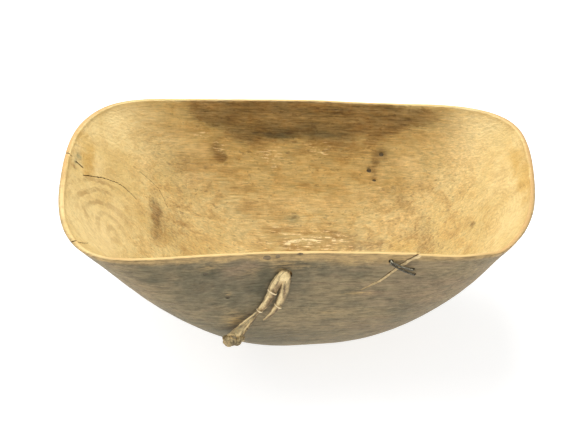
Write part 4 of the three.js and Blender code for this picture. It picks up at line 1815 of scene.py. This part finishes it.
    def paint_stains(self, mesh: bpy.types.Mesh, points: np.ndarray, within: np.ndarray) -> None:
        """Stores the growth rings of the ends, and the stains of both sides, with painted light and shade
        among them.

        Args:
            mesh: The bowl's mesh.
            points: Its points.
            within: Whether each point is inside.
        """
        spots = points / MM
        paint(mesh, "rings", within * sum(mark.over(spots) for mark in self.ringed_ends))
        drifts = tuple(
            np.stack([rumble(points, scale, k) for k in (1.0, 2.0, 3.0)], axis=1) for scale in (45.0, 190.0)
        )
        for marks, side in ((INSIDE_MARKS, within), (OUTSIDE_MARKS, ~within)):
            for stain, group in marks.items():
                paint(mesh, stain.value, sum(mark.over(spots, drifts) for mark in group) * side)


# The wire stitch


@dataclass
class WireStitch:
    """The wire that holds the split: out at the left hole and in at the right, twice."""

    radius: float = 0.9 * MM
    lift: float = 0.35 * MM
    inner_lift: float = 0.6 * MM
    bend: float = 1.5 * MM
    spacing: float = 2.2 * MM
    tail: float = 9 * MM
    tail_dip: float = 0.25
    lower_tail_drop: float = 4.5 * MM
    sag: float = 0.9 * MM
    sag_way: tuple = (-0.45, -0.25, -0.85)
    # The side whose wire gets the painted highlight.
    highlight_side: tuple = (-0.25, -0.5, 0.83)
    steps: int = 420
    left: tuple = LEFT_WIRE_HOLE.place()
    rights: tuple = tuple(hole.place() for hole in RIGHT_WIRE_HOLES)

    def outside(self, place: tuple) -> np.ndarray:
        """A point of the wire's line over the outer wall."""
        return FORM.front_place(*place) + OUTWARD * (self.radius + self.lift)

    def inside(self, place: tuple) -> np.ndarray:
        """A point of the wire's line over the inner wall."""
        return FORM.front_place(*place, inside=True) - OUTWARD * (self.radius + self.inner_lift)

    def tail_end(self, along: float, drop: float, reach: float, run: np.ndarray) -> np.ndarray:
        """The end of a tail that lies along the inner wall."""
        dip = self.tail_dip * abs(reach)
        return self.inside((along + reach * run[0], drop - reach * run[2] - dip))

    def corners(self) -> np.ndarray:
        """The corners of the wire's route.

        Returns:
            The corners, in rows.
        """
        run = FORM.front_place(*self.rights[0]) - FORM.front_place(*self.left)
        run = unit(run * [1.0, 0.0, 1.0])
        shift = np.array([-run[2], 0.0, run[0]]) * self.spacing / 2
        along, drop = self.rights[1]
        return np.array(
            [
                self.tail_end(*self.left, -self.tail, run),
                self.inside(self.left) + shift,
                self.outside(self.left) + shift,
                self.outside(self.rights[0]),
                self.inside(self.rights[0]),
                self.inside(self.left) - shift,
                self.outside(self.left) - shift,
                self.outside(self.rights[1]),
                self.inside(self.rights[1]),
                self.tail_end(along, drop + self.lower_tail_drop, self.tail, run),
            ]
        )

    def line(self) -> np.ndarray:
        """The wire's line: runs that sag a little, with rounded corners.

        Returns:
            Its points, evenly spaced.
        """
        corners = self.corners()
        points = [corners[:1]]
        for before, corner, after in zip(corners, corners[1:], corners[2:]):
            start = corner + unit(before - corner) * self.bend
            end = corner + unit(after - corner) * self.bend
            t = np.linspace(0.0, 1.0, 9)[:, None]
            points.append((1 - t) ** 2 * start + 2 * t * (1 - t) * corner + t**2 * end)
        points.append(corners[-1:])
        line = np.concatenate(points)
        lengths = distances(line)
        even = np.linspace(0.0, lengths[-1], self.steps)
        line = np.stack([np.interp(even, lengths, line[:, k]) for k in range(3)], axis=1)
        left, right = corners[2], corners[3]
        share = np.clip((line[:, 0] - left[0]) / (right[0] - left[0]), 0.0, 1.0)
        out = line[:, 1] < FORM.front_place(*self.left)[1] + 3 * MM
        line += np.outer(np.sin(pi * share) * out * self.sag, self.sag_way)
        return line

    def build(self) -> None:
        """Builds the wire and dresses it."""
        line = self.line()
        along = unit(np.gradient(line, axis=0))
        side = np.empty_like(along)
        last = np.array([0.3, 0.2, 1.0])
        for k, heading in enumerate(along):
            last = unit(last - heading * np.dot(last, heading))
            side[k] = last
        front = np.cross(along, side)
        outline = round_outline(np.full(len(line), self.radius), 14)
        wire = bent_grid("wire", swept(line, side, front, outline))
        # Painted highlight where the wire faces up and towards the front.
        upward = np.array([vert.normal for vert in wire.data.vertices]) @ self.highlight_side
        paint(wire.data, "painted_highlight", smooth((upward - 0.66) / 0.22))
        wire.data.materials.append(DarkWire().material())
        dress(wire, None, "bowl", "wire_stitch")


# The hide thong


@dataclass(frozen=True)
class Spot:
    """A place on a leg of the thong.

    Attributes:
        along: How far along the bowl it lies from the hole's middle, in millimetres.
        down: How far below the hole's middle.
        out: How far out from the wall at the hole.
        width: The strip's width there.
        curl: How far round the strip is curled, in degrees: over its edges, or, below 0, into a trough.
        twist: How far it is turned about its length, in degrees.
    """

    along: float
    down: float
    out: float
    width: float
    curl: float
    twist: float


LONG_LEG = (
    Spot(-2, -2, 3, 8.2, 150, 0),
    Spot(-5.8, 3, 3.7, 9.6, 140, 0),
    Spot(-10.4, 11.2, 4, 9.8, 120, -6),
    Spot(-12.6, 16.9, 4.2, 9.0, 115, -12),
    Spot(-16, 25.7, 4.3, 8.4, 110, -14),
    Spot(-20, 32.9, 4.4, 6.8, 130, -8),
    Spot(-24.6, 38.8, 4.5, 4.4, 150, 0),
    Spot(-29.7, 45.7, 4.4, 5.2, -110, 0),
    Spot(-35.9, 53, 4.3, 8.2, -125, -6),
    Spot(-42.6, 61.5, 4.2, 12, -125, -10),
    Spot(-47.4, 68.4, 4, 14.5, -120, -8),
    Spot(-49.8, 72.4, 3.8, 15, -110, 0),
)
SHORT_LEG = (
    Spot(0.6, -1, 3, 6.0, 150, 0),
    Spot(0.3, 4, 3.7, 7.6, 140, 0),
    Spot(-1.9, 16.8, 4, 8.2, 120, 6),
    Spot(-4.7, 25.6, 4.1, 7.4, 115, 8),
    Spot(-7.4, 33.4, 4.1, 6.6, 125, 4),
    Spot(-12.7, 41.9, 4, 4.4, 130, 0),
    Spot(-17.9, 47.9, 3.8, 3.0, 110, 0),
    Spot(-21.7, 51.2, 3.6, 1.3, 60, 0),
)


def from_hole(along: float, down: float, out: float) -> np.ndarray:
    """A point given along the bowl, down and out from the hole's middle, in millimetres."""
    return HOLE + np.array([along, -out, -down]) * MM


@dataclass
class HideLeg:
    """One leg of the thong: a strip of hide that has curled lengthwise as it dried."""

    name: str
    spots: tuple
    thickness: tuple = (1.7 * MM, 1.3 * MM)
    crease: float = 0.35 * MM
    rows: int = 140
    half_sides: int = 15

    def route(self) -> np.ndarray:
        """The leg's centre points at its spots."""
        return np.array([from_hole(spot.along, spot.down, spot.out) for spot in self.spots])

    def axes(self, shares: np.ndarray) -> tuple[np.ndarray, np.ndarray, np.ndarray, np.ndarray]:
        """Follows the leg.

        Args:
            shares: Shares of the way along it.

        Returns:
            Its centre points, its side and front directions, and its widths, curls and twists.
        """
        forms = [(spot.width * MM, radians(spot.curl), radians(spot.twist)) for spot in self.spots]
        form = spline(np.array(forms), shares)
        line = spline(self.route(), shares)
        side, front = level_axes(line, OUTWARD, form[:, 2])
        return line, side, front, form

    def outline_steps(self) -> list[tuple[float, float, float]]:
        """The strip's outline: how far across it is, how far past its edge, and how far up.

        Returns:
            The three values for each point of the outline.
        """
        steps = np.linspace(1.0, -1.0, self.half_sides)
        turns = np.linspace(0.0, pi, 7)[1:-1]
        outline = [(s, 0.0, 1.0) for s in steps]
        outline += [(-1.0, -sin(t), cos(t)) for t in turns]
        outline += [(s, 0.0, -1.0) for s in steps[::-1]]
        return outline + [(1.0, sin(t), -cos(t)) for t in turns]

    def skin(self) -> tuple[np.ndarray, np.ndarray, np.ndarray]:
        """Lays out the leg's skin, with creases along it.

        Returns:
            Its points in rows and columns, how far across each column is, from 1 on its right to -1,
            and its face: 1 on the outer one and -1 on the one towards the wall.
        """
        shares = np.linspace(0.0, 1.0, self.rows)
        line, side, front, form = self.axes(shares)
        curl = form[:, 1]
        width = form[:, 0] * (1 + 0.07 * rumble(line, 220.0, 3.0))
        rim = mix(*self.thickness, shares) / 2
        arc = width / np.sinc(curl / tau)
        bend = curl / arc
        sag = -((arc / 2) ** 2) * bend / 2 * np.sinc(bend * arc / 4 / pi) ** 2
        outline = []
        steps = self.outline_steps()
        for across, past, level in steps:
            place = (arc / 2 - rim) * across + rim * past
            turn = bend * place
            grain = np.stack([place * 1.0, shares * 0.022, np.full_like(place, 0.01 * level)], axis=1)
            height = rim * level + self.crease * rumble(grain, 520.0, 2.0) * abs(level)
            outline.append(
                np.stack(
                    [
                        place * np.sinc(turn / pi) + height * np.sin(turn),
                        -(place**2) * bend / 2 * np.sinc(turn / tau) ** 2 + height * np.cos(turn) - sag / 2,
                    ],
                    axis=1,
                )
            )
        places = swept(line, side, front, np.stack(outline, axis=1))
        sides = np.array([across for across, _, _ in steps])
        face = np.array([level for _, _, level in steps])
        return places, sides, face

    def build(self) -> tuple[bpy.types.Object, KDTree, np.ndarray]:
        """Builds the leg.

        Returns:
            The leg, a way to find its skin's nearest point, and for each of those points how far it
            is across and along the leg and which face it is on.
        """
        places, sides, face = self.skin()
        leg = bent_grid(self.name, places)
        lookup = skin_tree(places[:, :-1].reshape(-1, 3))
        across = np.tile(sides, len(places))
        along = np.repeat(np.linspace(0.0, 1.0, len(places)), len(sides))
        return leg, lookup, np.stack([across, along, np.tile(face, len(places))], axis=1)


def egg(name: str, middle: np.ndarray, size: tuple, turn: float) -> bpy.types.Object:
    """An egg-shaped body of hide, turned about Y.

    Args:
        name: The body's name.
        middle: Its middle.
        size: Its size along each axis.
        turn: How far it is turned, in radians.

    Returns:
        The body.
    """
    bm = bmesh.new()
    bmesh.ops.create_icosphere(bm, subdivisions=4, radius=0.5)
    bmesh.ops.scale(bm, vec=Vector(size), verts=bm.verts)
    bmesh.ops.rotate(bm, cent=(0, 0, 0), matrix=Matrix.Rotation(turn, 3, "Y"), verts=bm.verts)
    bmesh.ops.translate(bm, vec=Vector(middle), verts=bm.verts)
    return make_object(name, bm)


def coil_of_hide(name: str, line: np.ndarray, radii: np.ndarray, flat: float) -> bpy.types.Object:
    """A rounded strip of hide along a line, flatter than it is wide.

    Args:
        name: The strip's name.
        line: Its centre points.
        radii: Its radius at each point.
        flat: Its height as a share of its width.

    Returns:
        The strip.
    """
    along = unit(np.gradient(line, axis=0))
    middle = line.mean(axis=0)
    side = unit(np.cross(along, line - middle))
    front = np.cross(along, side)
    outline = round_outline(radii, 18)
    outline[:, :, 1] *= flat
    return bent_grid(name, swept(line, side, front, outline))


@dataclass(frozen=True)
class Band:
    """A band of colour that runs along a leg of the thong.

    Attributes:
        across: Where its middle lies, from -1 at the leg's left edge to 1 at its right edge.
        spread: How wide it is.
        start: The share of the leg's length at which it begins.
        end: The share at which it ends.
        strength: How strong it is.
    """

    across: float
    spread: float
    start: float
    end: float
    strength: float

    def over(self, traits: np.ndarray) -> np.ndarray:
        """Gives the band's strength at points whose place across and along the leg is known.

        Args:
            traits: For each point, how far it is across and along the leg.

        Returns:
            One value for each point.
        """
        side, along = traits[:, 0], traits[:, 1]
        ends = smooth((along - self.start) / 0.05 + 0.5) * smooth((self.end - along) / 0.05 + 0.5)
        return self.strength * ends * hump(side, self.across, self.spread)


# Bands along the thong's legs: paler parts and painted highlights on the lit edges, painted shade in the
# hollows and creases.
LONG_BANDS = {
    "pale_and_lit": (
        Band(-0.72, 0.42, -0.1, 0.53, 1.0),
        Band(-0.95, 0.2, 0.58, 0.78, 0.9),
        Band(0.62, 0.3, 0.7, 1.1, 0.9),
    ),
    "hollow_shade": (Band(0.6, 0.5, 0.12, 0.54, 1.0), Band(-0.1, 0.5, 0.56, 0.68, 0.8)),
    "low": (Band(-0.2, 0.8, 0.58, 1.1, 1.0),),
    "crease_shade": (Band(1.0, 0.14, 0.2, 1.1, 0.9), Band(0.3, 0.1, 0.3, 0.5, 0.7)),
}
SHORT_BANDS = {
    "pale_and_lit": (Band(-0.3, 0.5, -0.1, 0.57, 0.95), Band(-0.65, 0.45, 0.6, 1.1, 0.9)),
    "hollow_shade": (Band(1.0, 0.35, 0.05, 0.57, 0.8), Band(0.6, 0.5, 0.59, 0.9, 1.0)),
    "low": (Band(0.75, 0.3, 0.1, 0.57, 0.8),),
    "crease_shade": (Band(0.5, 0.25, 0.6, 0.78, 0.8), Band(-1.0, 0.12, 0.1, 0.57, 0.8)),
}
# Marks on the thong: the paler head and painted highlights, and painted shade in its hollows and folds.
HIDE_MARKS = {
    "pale_and_lit": (
        Mark((-10.2, -132, 143.5), (6, 12, 6), 1.3),
        Mark((-60, -134, 71), (4, 8, 3)),
        Mark((-54, -134, 70), (4, 8, 2.5)),
    ),
    "hollow_shade": (Mark((-9.5, -133, 131), (1.6, 8, 6), 1.0), Mark((-10.5, -133, 124), (1.6, 8, 5), 0.8)),
    "low": (Mark((-58, -131, 66), (12, 20, 9), 0.95),),
    "crease_shade": (Mark((-58, -134, 66), (1.2, 8, 4), 0.9), Mark((-51, -134, 62), (3, 8, 1.4), 0.7)),
}


@dataclass(frozen=True)
class Tie:
    """A sinew tie round a leg of the thong.

    Attributes:
        node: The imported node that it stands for.
        spots: The leg's places.
        at: The number of the place that it goes round.
        width: How wide it is across the leg, in millimetres.
        height: How high it is, out from the wall.
        slant: How far it leans, in degrees.
    """

    node: str
    spots: tuple
    at: int
    width: float
    height: float
    slant: float


TIES = (
    Tie("sinew_tie_long_leg", LONG_LEG, 3, 9.0, 4.6, -18),
    Tie("sinew_tie_gather", LONG_LEG, 6, 4.6, 4.2, 14),
    Tie("sinew_tie_short_leg", SHORT_LEG, 4, 6.6, 4.2, -8),
)


@dataclass
class Thong:
    """The doubled hide strip with its knots and its ties."""

    head: tuple = (-1.6, -1.8, 3.6)
    head_size: tuple = (11.6 * MM, 10 * MM, 10.4 * MM)
    knot_lobes: tuple = (
        ((-54, 76.5, 4.4), (11.5, 9.6, 11), -20),
        ((-46.5, 76.6, 4.8), (11, 8, 7.6), -25),
        ((-56.5, 72.5, 5), (8, 7, 6), 10),
        ((-41.8, 73.6, 4.2), (7, 6.4, 6.6), 0),
        ((-50.5, 76.5, 4.6), (9, 8.4, 9.5), 0),
        ((-54.5, 80, 5), (7, 6, 4.6), 0),
    )
    neck_radius: float = 4.9 * MM
    neck_shift: tuple = (-0.55 * MM, 0.0, -0.45 * MM)
    neck_ends: tuple = (1 * MM, 4 * MM)
    neck_steps: int = 30
    overhand_depth: float = 6.6 * MM
    overhand_size: tuple = (1.75, 2.2, 1.75)
    overhand_radius: float = 2.5 * MM
    core_shift: tuple = (0.8, -2.2, -2.2)
    core_size: tuple = (15 * MM, 6.5 * MM, 13 * MM)
    stop_voxel: float = 0.45 * MM
    cord_width: float = 10.5 * MM
    cord_points: int = 40
    voxel: float = 0.42 * MM
    tie_steps: int = 40
    tie_turns: float = 1.35

    def finish_hide(
        self,
        piece: bpy.types.Object,
        lines: np.ndarray,
        traits: np.ndarray | None = None,
        bands: dict | None = None,
    ) -> None:
        """Paints a piece of hide's pale and lit parts, its greyed parts, and the painted shade in its
        hollows and creases.

        Args:
            piece: The piece.
            lines: How deep in a crease each of its points lies, from 0 to 1.
            traits: How far each of its points is across and along its leg, and on which face.
            bands: The bands of colour along the leg.
        """
        points = coordinates(piece.data)
        fray = np.stack([rumble(points, 400.0, 3.0), np.zeros(len(points)), np.zeros(len(points))], axis=1)
        for name, marks in HIDE_MARKS.items():
            layer = sum(mark.over(points / MM) for mark in marks)
            if bands:
                layer = layer + sum(band.over(traits + 0.25 * fray) for band in bands[name])
                # Painted shade on the face towards the wall.
                layer = layer + (traits[:, 2] < -0.5) * (name == "hollow_shade") * 0.5
            # Painted shade along the creases.
            paint(piece.data, name, layer + (name == "crease_shade") * lines * 0.75)

    def build_leg(
        self, name: str, spots: tuple, bands: dict, extras: list[bpy.types.Object]
    ) -> bpy.types.Object:
        """Builds one leg as one skin with what belongs to it.

        Args:
            name: The piece's name.
            spots: The leg's places.
            bands: The bands of colour along it.
            extras: Bodies that are fused with it.

        Returns:
            The leg.
        """
        strip, lookup, traits = HideLeg(name + "_strip", spots).build()
        leg = fuse(name, [strip, *extras])
        remesh(leg, self.voxel, 1)
        nearest = np.array([lookup.find(point)[1] for point in coordinates(leg.data)])
        traits = traits[nearest]
        lines = creases(traits * [3.6 * MM, 15 * MM, 9 * MM], 400.0, 2.0, 0.16)
        sink(leg, lines * 0.4 * MM)
        roughen(leg, 700.0, 0.16 * MM, 7.0)
        self.finish_hide(leg, lines, traits, bands)
        return leg

    def build_end_knot(self) -> bpy.types.Object:
        """Builds the rolled knot at the end of the long leg, and the strip's rolled end beside it.

        Returns:
            The knot.
        """
        lobes = []
        for place, size, turn in self.knot_lobes:
            lobes.append(egg("lobe", from_hole(*place), tuple(side * MM for side in size), radians(turn)))
        knot = fuse("hide_end_knot", lobes)
        remesh(knot, self.voxel, 1)
        points = coordinates(knot.data)
        lines = np.maximum(creases(points, 230.0, 2.0, 0.14), creases(points, 420.0, 9.0, 0.12) * 0.6)
        roughen(knot, 200.0, 1.1 * MM, 2.0)
        sink(knot, lines * 0.8 * MM)
        self.finish_hide(knot, lines)
        return knot

    def build_stop_knot(self) -> bpy.types.Object:
        """Builds the neck in the hole and the knot behind the wall.

        Returns:
            The neck and the knot as one piece.
        """
        low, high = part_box("thong_stop_knot")
        head = np.array(frame["joints"][1]["pos_m"])
        front_end, back_end = self.neck_ends
        ends = [head[0], low.y + front_end, head[2]], [head[0], high.y - back_end, head[2]]
        line = np.linspace(*ends, self.neck_steps)
        neck = rod("neck", line + self.neck_shift, np.full(self.neck_steps, self.neck_radius), 24)
        t = np.linspace(0.0, tau, 181)
        trefoil = [np.sin(t) + 2 * np.sin(2 * t), -np.sin(3 * t), np.cos(t) - 2 * np.cos(2 * t)]
        knot_middle = np.array([head[0], high.y - self.overhand_depth, head[2]])
        knot_line = np.stack(trefoil, axis=1) * np.array(self.overhand_size) * MM + knot_middle
        along = unit(np.gradient(knot_line, axis=0))
        knot_side = unit(np.cross(along, [0.0, 1.0, 0.0]))
        knot_front = np.cross(along, knot_side)
        outline = round_outline(np.full(len(t), self.overhand_radius), 16)
        knot = bent_grid("overhand", swept(knot_line, knot_side, knot_front, outline))
        core = egg("core", knot_middle + np.array(self.core_shift) * MM, self.core_size, 0.0)
        stop = fuse("hide_stop_knot", [neck, knot, core])
        remesh(stop, self.stop_voxel, 2)
        roughen(stop, 260.0, 0.3 * MM, 5.0)
        self.finish_hide(stop, np.zeros(len(stop.data.vertices)))
        return stop

    def build_tie(self, tie: Tie) -> bpy.types.Object:
        """Builds a sinew tie, wound once and a bit round its leg.

        Args:
            tie: Its place and its sizes.

        Returns:
            The tie.
        """
        shares = np.linspace(0.0, 1.0, 1 + self.tie_steps * (len(tie.spots) - 1))
        line, side, front, _ = HideLeg(tie.node, tie.spots).axes(shares)
        middle, side, front = (row[self.tie_steps * tie.at] for row in (line, side, front))
        along = np.cross(front, side)
        turns = np.linspace(0.0, tau * self.tie_turns, 90)
        lean = sin(radians(tie.slant)) * np.cos(turns) * tie.width / 2 + (turns / tau - 0.7) * 0.7
        path = (
            np.outer(np.cos(turns) * (tie.width / 2 + 0.4), side)
            + np.outer(np.sin(turns) * (tie.height / 2 + 0.45), front)
            + np.outer(lean, along)
        )
        radii = 0.36 + 0.4 * hump(turns, pi, 0.6)
        piece = coil_of_hide(f"{tie.node}_winding", middle + path * MM, radii * MM, 0.85)
        roughen(piece, 700.0, 0.1 * MM)
        return piece

    def build(self) -> None:
        """Builds the thong and dresses every piece."""
        hide = Rawhide("rawhide").material()
        sinew = Sinew().material()
        head = egg("head", from_hole(*self.head), self.head_size, radians(12))
        roughen(head, 260.0, 0.35 * MM)
        long_leg = self.build_leg("hide_long_leg", LONG_LEG, LONG_BANDS, [head])
        short_leg = self.build_leg("hide_short_leg", SHORT_LEG, SHORT_BANDS, [])
        end_knot = self.build_end_knot()
        stop_knot = self.build_stop_knot()
        for piece, node, body in (
            (long_leg, "hide_thong", "thong"),
            (short_leg, "hide_thong", "thong"),
            (end_knot, "thong_end_knot", "thong"),
            (stop_knot, "thong_stop_knot", "thong_neck"),
        ):
            dress(piece, hide, body, node)
        ties = [self.build_tie(tie) for tie in TIES]
        for piece, tie in zip(ties, TIES):
            dress(piece, sinew, "thong", tie.node)


def main() -> None:
    """Builds the studio, then every piece of the bowl."""
    logging.basicConfig(level=logging.INFO, format="%(name)s: %(message)s")
    studio = Studio()
    studio.place_camera()
    studio.light()
    studio.lay_floor()
    Thong().build()
    WireStitch().build()
    CarvedBowl().build()


if __name__ == "__main__":
    main()
